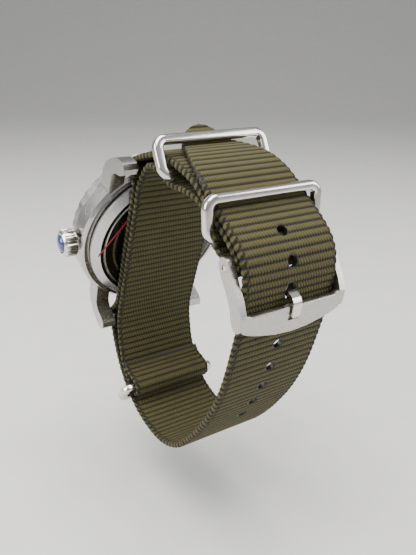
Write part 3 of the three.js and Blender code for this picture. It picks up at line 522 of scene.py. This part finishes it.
def case_material(colour):
    """Brushed case steel with a plain ring struck into its side above the crown, its groove painted dark as shade."""
    m, w, s = new_material("case_steel")
    s.inputs["Metallic"].default_value = 1.0
    raw = own_vector(w, True)
    lines = w.group("grain", w.mapping(raw, Scale=(1.2, 1.2, 22)), Fineness=700.0)
    away = w.node("ShaderNodeVectorMath", operation="DISTANCE")
    w.link(raw, away.inputs[0])
    turn = math.radians(25.8)
    away.inputs[1].default_value = (18.4 * MM * math.cos(turn), 18.4 * MM * math.sin(turn), 1.68 * MM)
    d = away.outputs["Value"]
    # The struck ring is a real groove, given as a bump; its dark colour is painted shade in the groove.
    struck_ring_and_shade = w.maths("MAXIMUM", within(w, d, 1.28 * MM, 1.42 * MM), within(w, d, 0.72 * MM, 0.84 * MM))
    w.link(w.mix(struck_ring_and_shade, w.mix(w.maths("MULTIPLY", lines["Mask"], 0.3), colour, tuple(c * 0.84 for c in colour)),
        tuple(c * 0.3 for c in colour)), s.inputs["Base Color"])
    w.link(w.maths("ADD", 0.22, w.maths("MULTIPLY", lines["Mask"], 0.06)), s.inputs["Roughness"])
    bump(w, s, w.maths("SUBTRACT", w.maths("MULTIPLY", lines["Height"], 0.01), struck_ring_and_shade), 0.35, 0.00002)
    return m


GROUPS = {}
FINISH = {}


class WATCH_OT_finishes(bpy.types.Operator):
    """Makes the finishes that every piece uses"""
    bl_idname = "watch.finishes"
    bl_label = "Finishes"

    def execute(self, context):
        colours = context.scene.watch_colours
        steel = tuple(colours.steel)
        GROUPS["grain"] = build_grain_group()
        GROUPS["handling"] = build_handling_group()
        GROUPS["weave"] = build_weave_group()
        FINISH["webbing"] = webbing_material(colours)
        FINISH["polish"] = metal("polished_steel_wire", steel, 0.09, 0.12, (1, 6, 6), 0.10, fineness=700.0)
        FINISH["plate"] = metal("buckle_steel", (0.50, 0.485, 0.45), 0.20, 0.35, (0.5, 9, 9), 0.08, fineness=900.0, depth=0.000003)
        FINISH["satin"] = metal("brushed_case_steel", (0.50, 0.49, 0.47), 0.20, 0.5, (0.4, 0.4, 14), 0.06, True, fineness=900.0,
            depth=0.000006)
        FINISH["case"] = case_material((0.50, 0.49, 0.47))
        FINISH["fine"] = metal("fine_turned_steel", (0.52, 0.51, 0.50), 0.26, 0.4, (1, 1, 1), 0.05, True, fineness=2200.0,
            depth=0.000006)
        FINISH["striped"] = striped_material((0.55, 0.54, 0.52))
        FINISH["dial"] = marked_material("dial_face", "dial")
        FINISH["insert"] = marked_material("bezel_scale", "insert")
        FINISH["chapter"] = marked_material("minute_track", "chapter")
        FINISH["gilt"] = metal("gilt_brass", (0.62, 0.47, 0.22), 0.26, 0.35, (1, 1, 1), 0.05, True, fineness=2600.0)
        FINISH["back"] = back_material()
        FINISH["rubber"] = plain_material("black_rubber", (0.012, 0.012, 0.013), 0.6)
        FINISH["black"] = plain_material("black_enamel", (0.010, 0.011, 0.013), 0.32, coat=0.3)
        FINISH["lume"] = plain_material("pale_lume", (0.72, 0.76, 0.62), 0.5, 0.12)
        FINISH["fused"] = plain_material("melted_nylon", (0.02, 0.021, 0.01), 0.4, 0.5)
        FINISH["stone"] = plain_material("blue_stone", tuple(colours.blue), 0.08, 0.25, coat=1.0, scale=500.0)
        FINISH["red"] = plain_material("red_line", tuple(colours.red), 0.35, 0.2)
        FINISH["ruby"] = plain_material("ruby_bearing", (0.45, 0.01, 0.05), 0.12, 0.2, coat=1.0)
        FINISH["window"] = glass_material("rear_glass", (0.010, 0.011, 0.014), 0.30)
        FINISH["crystal"] = glass_material("front_glass", (0.02, 0.022, 0.024), 0.14)
        return {"FINISHED"}


# ------------------------------------------------------------------ route of the webbing (y, z in millimetres)
OUTER_POINTS = [
    (-6.0, 36.9), (-4.4, 35.2), (-2.5, 34.05), (0, 33.85), (3.0, 33.4), (6.4, 32.3), (9.6, 30.6), (12.1, 28.7), (14.2,
        27.05), (16.7, 25.3), (19.1, 23.5), (21.3, 21.5), (22.7, 19.4),
    (23.3, 17.2), (23.3, 14.6), (22.95, 12.0), (22.5, 9.0), (21.85, 6.0), (21.0, 3.0), (20.1, 0), (18.9, -3.8), (17.4,
        -7.6), (15.6, -11.3),
    (13.5, -14.9), (11.2, -18.2), (8.6, -21.6), (5.6, -25.0), (2.3, -28.1), (-1.8, -30.4), (-6.5, -31.5), (-11.0, -31.2), (-15.5,
        -30.0), (-19.6, -27.7),
    (-23.0, -24.6), (-25.6, -20.9), (-27.4, -17.1), (-28.7, -13.5)]
TAPER = [(0, 0.04), (0.05, 0.09), (0.35, 0.2), (1.0, 0.3), (2.3, 0.39), (3.6, 0.5), (5.2, 0.6), (8.0, 0.7), (11.0, 0.82),
    (13.5, 0.9), (17.5, 0.97), (21.0, 1.0)]


def travelled(line):
    return np.concatenate([[0], np.cumsum(np.linalg.norm(np.diff(line, axis=0), axis=1))])


def respaced(line, step):
    s = travelled(line)
    at = np.linspace(0, s[-1], max(2, int(round(s[-1] / step))) + 1)
    return np.stack([np.interp(at, s, line[:, k]) for k in (0, 1)], axis=1)


def smooth_line(points, step):
    """A centripetal curve through the points."""
    p = np.array(points, float)
    ends = np.vstack([2 * p[0] - p[1], p, 2 * p[-1] - p[-2]])
    t = np.linspace(0, 1, 20, endpoint=False)[:, None]
    out = []
    for i in range(len(p) - 1):
        a, b, c, d = ends[i:i + 4]
        d0, d1, d2 = [max(float((v @ v)) ** 0.25, 1e-4) for v in (b - a, c - b, d - c)]
        m1 = ((b - a) / d0 - (c - a) / (d0 + d1) + (c - b) / d1) * d1
        m2 = ((c - b) / d1 - (d - b) / (d1 + d2) + (d - c) / d2) * d1
        out.append(b + m1 * t + (-3 * b + 3 * c - 2 * m1 - m2) * t ** 2 + (2 * b - 2 * c + m1 + m2) * t ** 3)
    return respaced(np.vstack(out + [p[-1:]]), step)


def side_of(line):
    """Unit normals on the left of the direction of travel."""
    d = np.gradient(line, axis=0)
    d /= np.linalg.norm(d, axis=1)[:, None]
    return np.stack([-d[:, 1], d[:, 0]], axis=1)


def in_head(u, w):
    p = HEAD @ Vector((0, u * MM, w * MM))
    return (p.y / MM, p.z / MM)


def arc(cy, cz, r, n, a, b):
    return [(cy + r * math.cos(math.radians(a + (b - a) * i / n)),
        cz + r * math.sin(math.radians(a + (b - a) * i / n))) for i in range(n + 1)]


TIP_KEEPER_AT = np.array([-2.0, 34.0])  # where its outer bar crosses the webbing
TIP_KEEPER_LEAN = math.radians(116)
LEG_END = np.array([9.0, 31.0])  # where the folded leg leaves the loop's outer run


class Route:
    """Outer face of the loop from its tip, with points measured along it and in from it."""
    def __init__(self):
        self.line = smooth_line(OUTER_POINTS, 0.1)
        self.s = travelled(self.line)
        self.n = side_of(self.line)
        self.total = self.s[-1]

    def normal(self, s):
        n = np.array([np.interp(s, self.s, self.n[:, k]) for k in (0, 1)])
        return n / np.linalg.norm(n)

    def deep(self, s, depth):
        at = np.array([np.interp(s, self.s, self.line[:, k]) for k in (0, 1)])
        return tuple(at - self.normal(s) * depth)

    def run(self, s0, s1, step, depth):
        n = max(1, round(abs(s1 - s0) / step))
        return [self.deep(s0 + (s1 - s0) * i / n, depth) for i in range(n + 1)]


ROUTE = Route()
T, GAP, WIRE = 1.2, 0.3, 1.8
PIN = (19.5, 18.0)
RING_TOP_S, RING_S, PIN_S, LOW_S = 22.98, 27.18, 35.48, 112.94
RING_DEPTH = 2 * T + 2 * GAP + WIRE / 2
LOW_DEPTH = 2 * T + GAP + 0.2 + WIRE / 2


def long_route():
    behind, wrap, fold = -(2.0 + GAP + T / 2), 0.75 + 0.25 + T / 2, 0.55 + 0.16 + T / 2
    n = ROUTE.normal(PIN_S)
    away = math.degrees(math.atan2(n[1], n[0]))
    deep = ROUTE.deep
    points = [deep(RING_S - 4.6, 2.5 * T + 2 * GAP), deep(RING_S - 3.0, 2.5 * T + 2 * GAP + 0.5),
        deep(RING_S - 1.2, RING_DEPTH + WIRE / 2 + GAP + T / 2),
              deep(RING_S + 1.2, RING_DEPTH + WIRE / 2 + GAP + T / 2), deep(RING_S + 4.2, RING_DEPTH + 1.35)]
    points += arc(*PIN, fold, 12, away - 190, away + 4)
    up_to = ROUTE.s[np.argmin(np.linalg.norm(ROUTE.line - LEG_END, axis=1))]
    points += ROUTE.run(PIN_S - 2.0, up_to, 1.6, 1.5 * T + GAP)
    points += [(4.6, 30.5), (1.0, 31.4), (-2.5, 31.8), (-6.0, 31.85), (-9.2, 31.25)]
    points += [in_head(u, w) for u, w in arc(19.9, -2.4, wrap, 7, 40, 116)]
    points += [in_head(u, w) for u, w in ((16.9, behind + 0.75), (15.2, behind + 0.12), (13.0, behind), (4, behind), (-4, behind),
        (-13.0, behind), (-15.2, behind + 0.12), (-16.9, behind + 0.75))]
    points += [in_head(-u, w) for u, w in reversed(arc(19.9, -2.4, wrap, 7, 58, 116))]
    points += ROUTE.run(ROUTE.total - 1.2, 0, 2.2, T / 2)
    return smooth_line(points, 0.1)[::-1]  # from the tip


def short_route():
    behind = -(2.0 + GAP + T / 2)
    under, run = behind - T - GAP, 1.5 * T + GAP
    deep = ROUTE.deep
    n = ROUTE.normal(LOW_S)
    away = math.degrees(math.atan2(n[1], n[0]))
    points = [deep(RING_S - 5.4, 2.5 * T + 2 * GAP), deep(RING_S - 7.4, 2.5 * T + 2 * GAP),
              (6.0, 27.1), (3.4, 27.3), (1.0, 27.3), (-1.3, 27.6), (-3.7, 28.8), (-6.4, 29.6), (-8.9, 29.2), (-10.8, 27.5)]
    points += [in_head(u, w) for u, w in ((17.0, under), (12, under), (4, under), (-4, under), (-12, under), (-17.5, under - 0.05),
        (-21.0, under - 0.75))]
    points += [deep(LOW_S + 9.2, run + 0.35), deep(LOW_S + 6, run + 0.1), deep(LOW_S + 3, run), deep(LOW_S + 1.0, run)]
    points += arc(*deep(LOW_S, LOW_DEPTH), WIRE / 2 + 0.2 + T / 2, 9, away + 5, away + 175)
    points += [deep(LOW_S + 2.6, LOW_DEPTH + 0.95), deep(LOW_S + 5.0, run + T + GAP + 0.05), deep(LOW_S + 7.0, run + T + GAP + 0.1)]
    return smooth_line(points, 0.1)


# Places across the webbing, finer over the holes and at the edges, as shares of half the width.
ACROSS = [0, 0.026, 0.052, 0.078, 0.104, 0.135, 0.18, 0.24, 0.31, 0.39, 0.46, 0.53, 0.60, 0.67, 0.74, 0.81, 0.87, 0.92, 0.955,
    0.98, 0.994, 1.0]
ACROSS = np.array([-a for a in ACROSS[:0:-1]] + ACROSS)


def webbing(name, line, settings, half, holes=(), tapered=False):
    """A band of ribbed webbing laid along a line, with its holes and its melted cut edges."""
    pitch, depth = settings.rib_pitch / MM, settings.rib_depth / MM
    s, n = travelled(line), side_of(line)
    rows = int(s[-1] / (pitch / 6))
    clear_selection()
    bpy.ops.mesh.primitive_grid_add(x_subdivisions=len(ACROSS) - 1, y_subdivisions=rows, size=1.0, location=(0, 0, 0),
        calc_uvs=True)
    piece = named(name, FINISH["webbing"])
    mesh = piece.data
    co = np.zeros(len(mesh.vertices) * 3)
    mesh.vertices.foreach_get("co", co)
    co = co.reshape(-1, 3)
    col = np.clip(np.rint((co[:, 0] + 0.5) * (len(ACROSS) - 1)).astype(int), 0, len(ACROSS) - 1)
    along = np.clip(np.rint((co[:, 1] + 0.5) * rows), 0, rows) * s[-1] / rows
    share = ACROSS[col]
    width = half * (np.interp(along, [a for a, _ in TAPER], [b for _, b in TAPER]) if tapered else np.ones(len(along)))
    across = share * width
    melt = np.clip(1 - along / 0.5, 0, 1)
    melt = np.maximum(melt, np.clip(1 - (s[-1] - along) / 0.6, 0, 1))
    if tapered:  # the cut edges of the tip are sealed with heat
        melt = np.maximum(melt, np.clip(1 - (width - np.abs(across)) / 0.35, 0, 1) * (along < 19.5))
    drop = np.zeros(len(along), bool)
    for at, r, stretch in holes:
        dy, dx = (along - at) / stretch, across
        d = np.hypot(dy, dx)
        drop |= d < 0.72 * r
        ring = (d >= 0.72 * r) & (d < r * 1.02)
        along = np.where(ring, at + dy * stretch * r / np.maximum(d, 1e-6), along)
        across = np.where(ring, dx * r / np.maximum(d, 1e-6), across)
        melt = np.maximum(melt, np.clip(1 - (d - r) / 0.32, 0, 1))
    for label, values in (("along", along), ("across", across), ("half", width), ("melt", melt)):
        mesh.attributes.new(label, "FLOAT", "POINT").data.foreach_set("value", values.astype(np.float32))

    def mid(a):
        p = np.stack([np.interp(a, s, line[:, k]) for k in (0, 1)], axis=1)
        q = np.stack([np.interp(a, s, n[:, k]) for k in (0, 1)], axis=1)
        return p, q / np.linalg.norm(q, axis=1)[:, None]

    p, q = mid(along)
    mesh.vertices.foreach_set("co", (np.column_stack([across, p[:, 0], p[:, 1]]) * MM).ravel())
    mesh.update()
    # The holes are opened, then the band is given its thickness.
    pick(piece)
    to_mode("EDIT")
    bpy.ops.mesh.select_all(action="DESELECT")
    to_mode("OBJECT")
    mesh.vertices.foreach_set("select", drop)
    to_mode("EDIT")
    bpy.ops.mesh.select_mode(type="VERT")
    bpy.ops.mesh.delete(type="VERT")
    to_mode("OBJECT")
    apply_modifier(piece, "SOLIDIFY", thickness=0.5 * MM, offset=0.0)
    mesh = piece.data

    def values(label):
        out = np.zeros(len(mesh.vertices), np.float32)
        mesh.attributes[label].data.foreach_get("value", out)
        return out.astype(float)

    along, across, width, melt = (values(k) for k in ("along", "across", "half", "melt"))
    co = np.zeros(len(mesh.vertices) * 3)
    mesh.vertices.foreach_get("co", co)
    co = co.reshape(-1, 3) / MM
    p, q = mid(along)
    side = np.sign(((co[:, 1:] - p) * q).sum(1))
    valley = 1 - np.abs(np.cos(math.pi * along / pitch)) ** 0.8
    edge = np.clip((np.abs(across) - (width - 0.42)) / 0.42, 0, 1)
    thick = (T / 2 - depth * valley * (1 - 0.7 * melt) - 0.12 * melt) * np.sqrt(1 - 0.72 * edge ** 2)
    pulled = across - np.sign(across) * edge * (0.16 * valley + 0.05 * np.sin(along * 2.3) ** 2)
    out = np.column_stack([pulled, p + q * (side * thick)[:, None]])
    mesh.vertices.foreach_set("co", (out * MM).ravel())
    # Woven pattern laid out in millimetres.
    loops = np.zeros(len(mesh.loops), np.int32)
    mesh.loops.foreach_get("vertex_index", loops)
    layer = mesh.uv_layers[0]
    layer.name = "weave"
    layer.data.foreach_set("uv", np.column_stack([across[loops], along[loops]]).astype(np.float32).ravel())
    for label in ("along", "across", "half"):
        mesh.attributes.remove(mesh.attributes[label])
    mesh.update()
    pick(piece)
    edit_all()
    bpy.ops.mesh.normals_make_consistent(inside=False)
    to_mode("OBJECT")
    bpy.ops.object.shade_smooth_by_angle(angle=math.radians(60))
    return piece


class WATCH_OT_strap(bpy.types.Operator):
    """Weaves the long strap and the short under-strap"""
    bl_idname = "watch.strap"
    bl_label = "Strap"

    def execute(self, context):
        st = context.scene.watch_strap
        line = long_route()
        s = travelled(line)
        tail = line[s < 90]

        def along_of(at):
            q = np.array(ROUTE.deep(at, T / 2))
            return s[np.argmin(np.linalg.norm(tail - q, axis=1))]

        at, step, r = st.tongue_at / MM, st.hole_pitch / MM, st.hole_radius / MM
        holes = [(along_of(at + k * step), r, 1.0) for k in (-2, -1, 1, 2, 3, 4, 5, 6)] + [(along_of(at), r + 0.1, 1.65)]
        piece = webbing("long_strap_webbing", line, st, st.width / MM / 2, holes, tapered=True)
        stand_for(piece, "long_strap")
        piece = webbing("short_strap_webbing", short_route(), st, st.width / MM / 2 - 0.15)
        stand_for(piece, "short_strap")
        for node in ("weld_fold", "weld_short_strap", "weld_flap_end"):
            machined(node, node + "_seam", FINISH["fused"], 0.03 * MM)
        return {"FINISHED"}


# ------------------------------------------------------------------ metal on the strap
def wire_ring(name, outer_bar, inner_bar, length, wire, corner):
    """A rounded rectangle of flattened wire between two bars, given in (y, z) millimetres."""
    o, i = Vector((0, *outer_bar)) * MM, Vector((0, *inner_bar)) * MM
    up = (o - i)
    height = up.length
    up.normalize()
    # Section of the wire.
    clear_selection()
    bpy.ops.mesh.primitive_plane_add(size=wire)
    section = named(name + "_section")
    edit_all()
    bpy.ops.mesh.bevel(offset=wire * 0.34, segments=5, affect="VERTICES")
    bpy.ops.mesh.select_all(action="SELECT")
    bpy.ops.mesh.delete(type="ONLY_FACE")
    to_mode("OBJECT")
    bpy.ops.object.convert(target="CURVE")
    section = bpy.context.object
    # Centre line of the ring.
    clear_selection()
    bpy.ops.mesh.primitive_plane_add(size=1.0)
    ring = named(name)
    ring.scale = (length - wire, height, 1)
    bpy.ops.object.transform_apply(location=False, rotation=False, scale=True)
    edit_all()
    bpy.ops.mesh.bevel(offset=corner - wire / 2, segments=9, affect="VERTICES")
    bpy.ops.mesh.select_all(action="SELECT")
    bpy.ops.mesh.delete(type="ONLY_FACE")
    to_mode("OBJECT")
    bpy.ops.object.convert(target="CURVE")
    ring = bpy.context.object
    ring.data.dimensions = "2D"
    ring.data.bevel_mode = "OBJECT"
    ring.data.bevel_object = section
    ring.data.fill_mode = "NONE"
    bpy.ops.object.convert(target="MESH")
    ring = named(name, FINISH["polish"])
    bpy.data.objects.remove(section)
    x = Vector((1, 0, 0))
    z = x.cross(up)
    place = Matrix.Translation((o + i) / 2) @ Matrix((x, up, z)).transposed().to_4x4()
    settle(ring, place)
    close_and_face_out(ring)
    return soften(ring, 0, smooth=40)


class WATCH_OT_keepers(bpy.types.Operator):
    """Bends the three keeper rings"""
    bl_idname = "watch.keepers"
    bl_label = "Keeper rings"

    def execute(self, context):
        ws = context.scene.watch_wire
        up = GAP + WIRE / 2
        outer, inner = ROUTE.deep(RING_TOP_S, -up), ROUTE.deep(RING_S, RING_DEPTH)
        height = math.dist(outer, inner)
        s = ROUTE.s[np.argmin(np.linalg.norm(ROUTE.line - TIP_KEEPER_AT, axis=1))]
        tip = ROUTE.deep(s, -up - 0.05)
        rings = {
            "buckle_keeper": (outer, inner),
            "tip_keeper": (tip, (tip[0] - height * math.cos(TIP_KEEPER_LEAN), tip[1] - height * math.sin(TIP_KEEPER_LEAN))),
            "flap_keeper": (ROUTE.deep(LOW_S, -up), ROUTE.deep(LOW_S, LOW_DEPTH)),
        }
        for node, (o, i) in rings.items():
            stand_for(wire_ring(node + "_ring", o, i, ws.length, ws.wire, ws.corner), node)
        return {"FINISHED"}


class WATCH_OT_buckle(bpy.types.Operator):
    """Finishes the buckle, its pin and its tongue"""
    bl_idname = "watch.buckle"
    bl_label = "Buckle"

    def execute(self, context):
        machined("buckle_frame", "buckle_frame_steel", FINISH["plate"], 0.22 * MM, 4, 25, 40)
        machined("buckle_pin", "buckle_pin_steel", FINISH["polish"], 0.08 * MM)
        machined("buckle_tongue", "buckle_tongue_steel", FINISH["polish"], 0.25 * MM, 4, 40, 45)
        return {"FINISHED"}


# ------------------------------------------------------------------ the head
class WATCH_OT_case(bpy.types.Operator):
    """Finishes the mid-case with its lugs, and the spring bars"""
    bl_idname = "watch.case"
    bl_label = "Case"

    def execute(self, context):
        machined("mid_case", "mid_case_steel", FINISH["case"], 0.14 * MM, 3, 30, 32)
        for word in ("upper", "lower"):
            machined(word + "_spring_bar", word + "_spring_bar_tube", FINISH["polish"], 0.06 * MM)
            for side in ("crown_side", "far_side"):
                machined(f"{word}_bar_tip_{side}", f"{word}_bar_tip_{side}_steel", FINISH["polish"], 0.08 * MM)
        return {"FINISHED"}


class WATCH_OT_back(bpy.types.Operator):
    """Finishes the case back, its window and its seals"""
    bl_idname = "watch.back"
    bl_label = "Case back"

    def execute(self, context):
        machined("caseback_ring", "caseback_ring_steel", FINISH["back"], 0.05 * MM, 2, 20, 25)
        machined("caseback_window", "caseback_window_glass", FINISH["window"], 0.05 * MM)
        for node in ("window_gasket", "caseback_gasket"):
            machined(node, node + "_seal", FINISH["rubber"], 0.04 * MM)
        # Thin printed line across the flat of the ring and the window.
        a, b = Vector((17.0, -3.9, 0)), Vector((5.2, 13.1, 0))
        a = a + (b - a) * 0.145
        mid, run = (a + b) / 2, (b - a)
        clear_selection()
        bpy.ops.mesh.primitive_cube_add(size=1.0, location=(mid.x * MM, mid.y * MM, -2.02 * MM),
            rotation=(0, 0, math.atan2(run.y, run.x)),
                                        scale=(run.length * MM, 0.32 * MM, 0.03 * MM))
        line = named("caseback_line", FINISH["red"])
        bpy.ops.object.transform_apply(location=True, rotation=True, scale=True)
        apply_modifier(line, "BEVEL", width=0.008 * MM, segments=2)
        settle(line, HEAD)
        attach(line, "watch")
        return {"FINISHED"}


class WATCH_OT_crown(bpy.types.Operator):
    """Finishes the crown, its stone, the tube and the stem"""
    bl_idname = "watch.crown"
    bl_label = "Crown"

    def execute(self, context):
        machined("crown", "crown_steel", FINISH["polish"], 0.05 * MM, 2, 25, 30)
        machined("crown_cabochon", "crown_cabochon_stone", FINISH["stone"], 0.0, smooth=60)
        machined("crown_gasket", "crown_gasket_seal", FINISH["rubber"], 0.04 * MM)
        machined("crown_tube", "crown_tube_steel", FINISH["fine"], 0.04 * MM)
        machined("winding_stem", "winding_stem_steel", FINISH["fine"], 0.04 * MM)
        return {"FINISHED"}


class WATCH_OT_front(bpy.types.Operator):
    """Finishes the bezel, the crystal, the dial and the hands"""
    bl_idname = "watch.front"
    bl_label = "Front"

    def execute(self, context):
        machined("bezel", "bezel_steel", FINISH["satin"], 0.09 * MM, 2)
        machined("bezel_insert", "bezel_insert_enamel", FINISH["insert"], 0.04 * MM)
        machined("bezel_click_spring", "bezel_click_spring_steel", FINISH["fine"], 0.03 * MM)
        machined("crystal", "crystal_glass", FINISH["crystal"], 0.06 * MM)
        machined("crystal_gasket", "crystal_gasket_seal", FINISH["rubber"], 0.03 * MM)
        machined("chapter_ring", "chapter_ring_enamel", FINISH["chapter"], 0.03 * MM)
        machined("dial", "dial_enamel", FINISH["dial"], 0.04 * MM)
        machined("hand_arbor", "hand_arbor_steel", FINISH["fine"], 0.03 * MM)
        for node in ("hour_hand", "minute_hand", "seconds_hand"):
            machined(node, node + "_lacquer", FINISH["lume"], 0.04 * MM)
        return {"FINISHED"}


def stud(name, x, y, z, radius, proud, material):
    """A dished round head standing on the back of the bridge."""
    clear_selection()
    bpy.ops.mesh.primitive_cylinder_add(vertices=32, radius=radius * MM, depth=(proud + 0.2) * MM,
        location=(x * MM, y * MM, (z + 0.1 - proud / 2) * MM))
    piece = named(name, material)
    to_mode("EDIT")
    bpy.ops.mesh.select_all(action="DESELECT")
    bpy.ops.mesh.select_mode(type="FACE")
    to_mode("OBJECT")
    for f in piece.data.polygons:
        f.select = f.normal.z < -0.9
    to_mode("EDIT")
    bpy.ops.mesh.inset(thickness=radius * 0.4 * MM, depth=0)
    bpy.ops.mesh.inset(thickness=radius * 0.12 * MM, depth=-0.06 * MM)
    to_mode("OBJECT")
    settle(piece, HEAD)
    soften(piece, 0.03 * MM)
    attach(piece, "watch")


class WATCH_OT_movement(bpy.types.Operator):
    """Finishes the movement seen through the back"""
    bl_idname = "watch.movement"
    bl_label = "Movement"

    def execute(self, context):
        machined("movement_plate", "movement_plate_gilt", FINISH["gilt"], 0.05 * MM)
        machined("movement_bridge", "movement_bridge_steel", FINISH["striped"], 0.05 * MM)
        machined("balance_wheel", "balance_wheel_gilt", FINISH["gilt"], 0.03 * MM)
        machined("movement_holder", "movement_holder_black", FINISH["black"], 0.05 * MM)
        machined("rotor", "rotor_steel", FINISH["striped"], 0.05 * MM)
        machined("rotor_bearing", "rotor_bearing_steel", FINISH["polish"], 0.04 * MM)
        for i, (x, y) in enumerate(((9.6, 3.6), (-9.4, -4.2), (8.6, -5.8), (3.2, 9.6))):
            stud(f"bridge_screw_{i + 1}", x, y, 0.65, 0.55, 0.12, FINISH["polish"])
        for i, (x, y) in enumerate(((6.4, 6.0), (-6.6, -7.4), (5.0, -8.4))):
            stud(f"bridge_jewel_{i + 1}", x, y, 0.65, 0.42, 0.05, FINISH["ruby"])
        return {"FINISHED"}


# ------------------------------------------------------------------ floor, light and camera
CAMERA_AT = Vector((63.47, 93.13, 52.03)) * MM
AZIMUTH, ELEVATION, ROLL = (math.radians(v) for v in (146.29, 21.54, 0.83))
FLOOR_Z, FLOOR_SIZE, WALL_HEIGHT = -0.047, 3.0, 2.2


class WATCH_OT_stage(bpy.types.Operator):
    """Sets out the floor, the lights and the camera"""
    bl_idname = "watch.stage"
    bl_label = "Stage"

    def execute(self, context):
        scene = context.scene
        # Camera.
        right = Vector((math.cos(AZIMUTH), math.sin(AZIMUTH), 0))
        back = Vector((math.sin(AZIMUTH) * math.cos(ELEVATION), -math.cos(AZIMUTH) * math.cos(ELEVATION), math.sin(ELEVATION)))
        up = back.cross(right)
        right, up = right * math.cos(ROLL) + up * math.sin(ROLL), up * math.cos(ROLL) - right * math.sin(ROLL)
        data = bpy.data.cameras.new("watch_camera")
        data.lens, data.sensor_width = 39.38, 36.0
        data.clip_start, data.clip_end = 0.005, 20.0
        camera = bpy.data.objects.new("watch_camera", data)
        scene.collection.objects.link(camera)
        camera.matrix_world = Matrix.Translation(CAMERA_AT) @ Matrix((right, up, back)).transposed().to_4x4()
        scene.camera = camera
        # Floor that sweeps up behind the watch.
        clear_selection()
        bpy.ops.mesh.primitive_plane_add(size=FLOOR_SIZE, location=(0, 0, FLOOR_Z))
        floor = named("pale_floor")
        to_mode("EDIT")
        bpy.ops.mesh.select_all(action="DESELECT")
        to_mode("OBJECT")
        for e in floor.data.edges:
            e.select = all(floor.data.vertices[v].co.y < 0.1 - FLOOR_SIZE / 2 for v in e.vertices)
        to_mode("EDIT")
        bpy.ops.mesh.select_mode(type="EDGE")
        bpy.ops.mesh.extrude_region_move(TRANSFORM_OT_translate={"value": (0, 0, WALL_HEIGHT)})
        to_mode("OBJECT")
        settle(floor, Matrix.Rotation(AZIMUTH - math.pi, 4, "Z"))
        apply_modifier(floor, "BEVEL", width=0.8, segments=24, limit_method="ANGLE", angle_limit=math.radians(60))
        pick(floor)
        bpy.ops.object.shade_smooth()
        m, w, s = new_material("pale_paper")
        n = w.noise(own_vector(w), 120.0, 3.0, 0.5)
        w.link(w.mix(w.span(n, 0.3, 0.7, 0.0, 1.0), (0.66, 0.66, 0.65), (0.63, 0.63, 0.62)), s.inputs["Base Color"])
        s.inputs["Roughness"].default_value = 0.7
        s.inputs["Specular IOR Level"].default_value = 0.2
        paint(floor, m)
        # Soft light from above and from both sides.
        for name, energy, size, at, colour in (
                ("overhead", 4.2, 0.42, (0.05, 0.02, 0.42), (1, 0.98, 0.95)),
                ("left_side", 1.5, 0.25, (0.34, -0.10, 0.16), (1, 0.99, 0.97)),
                ("right_side", 0.9, 0.25, (-0.30, 0.22, 0.14), (0.97, 0.98, 1))):
            light = bpy.data.lights.new(name, "AREA")
            light.energy, light.size, light.color = energy, size, colour
            lamp = bpy.data.objects.new(name, light)
            scene.collection.objects.link(lamp)
            lamp.location = at
            lamp.rotation_euler = (-Vector(at)).to_track_quat("-Z", "Y").to_euler()
        world = bpy.data.worlds.new("soft_room")
        scene.world = world
        world.use_nodes = True
        bg = world.node_tree.nodes["Background"]
        w = Wiring(world.node_tree)
        facing = w.node("ShaderNodeVectorMath", operation="DOT_PRODUCT")
        w.link(w.node("ShaderNodeTexCoord").outputs["Generated"], facing.inputs[0])
        facing.inputs[1].default_value = (0.0, 0.0, -1.0)
        w.link(w.mix(w.span(facing.outputs["Value"], -0.75, -0.1, 0.0, 1.0), (0.85, 0.85, 0.84), (0.6, 0.6, 0.6)),
            bg.inputs["Color"])
        bg.inputs["Strength"].default_value = 0.62
        return {"FINISHED"}


class WATCH_PT_panel(bpy.types.Panel):
    """Lists the steps of the build"""
    bl_idname = "WATCH_PT_panel"
    bl_label = "Dive Watch"
    bl_space_type = "VIEW_3D"
    bl_region_type = "UI"
    bl_category = "Dive Watch"

    def draw(self, context):
        for step in STEPS:
            self.layout.operator(step.bl_idname)
        for group in ("watch_strap", "watch_wire", "watch_colours"):
            box = self.layout.box()
            settings = getattr(context.scene, group)
            for key in settings.bl_rna.properties.keys():
                if key not in ("rna_type", "name"):
                    box.prop(settings, key)


STEPS = (WATCH_OT_finishes, WATCH_OT_stage, WATCH_OT_strap, WATCH_OT_keepers, WATCH_OT_buckle, WATCH_OT_case, WATCH_OT_back,
    WATCH_OT_crown, WATCH_OT_front, WATCH_OT_movement)
CLASSES = (WatchStrapSettings, WatchWireSettings, WatchColourSettings, *STEPS, WATCH_PT_panel)


def register():
    for c in CLASSES:
        bpy.utils.register_class(c)
    bpy.types.Scene.watch_strap = bpy.props.PointerProperty(type=WatchStrapSettings)
    bpy.types.Scene.watch_wire = bpy.props.PointerProperty(type=WatchWireSettings)
    bpy.types.Scene.watch_colours = bpy.props.PointerProperty(type=WatchColourSettings)


def unregister():
    for key in ("watch_strap", "watch_wire", "watch_colours"):
        delattr(bpy.types.Scene, key)
    for c in reversed(CLASSES):
        bpy.utils.unregister_class(c)


def main():
    register()
    for step in STEPS:
        group, name = step.bl_idname.split(".")
        getattr(getattr(bpy.ops, group), name)()


if __name__ == "__main__":
    main()
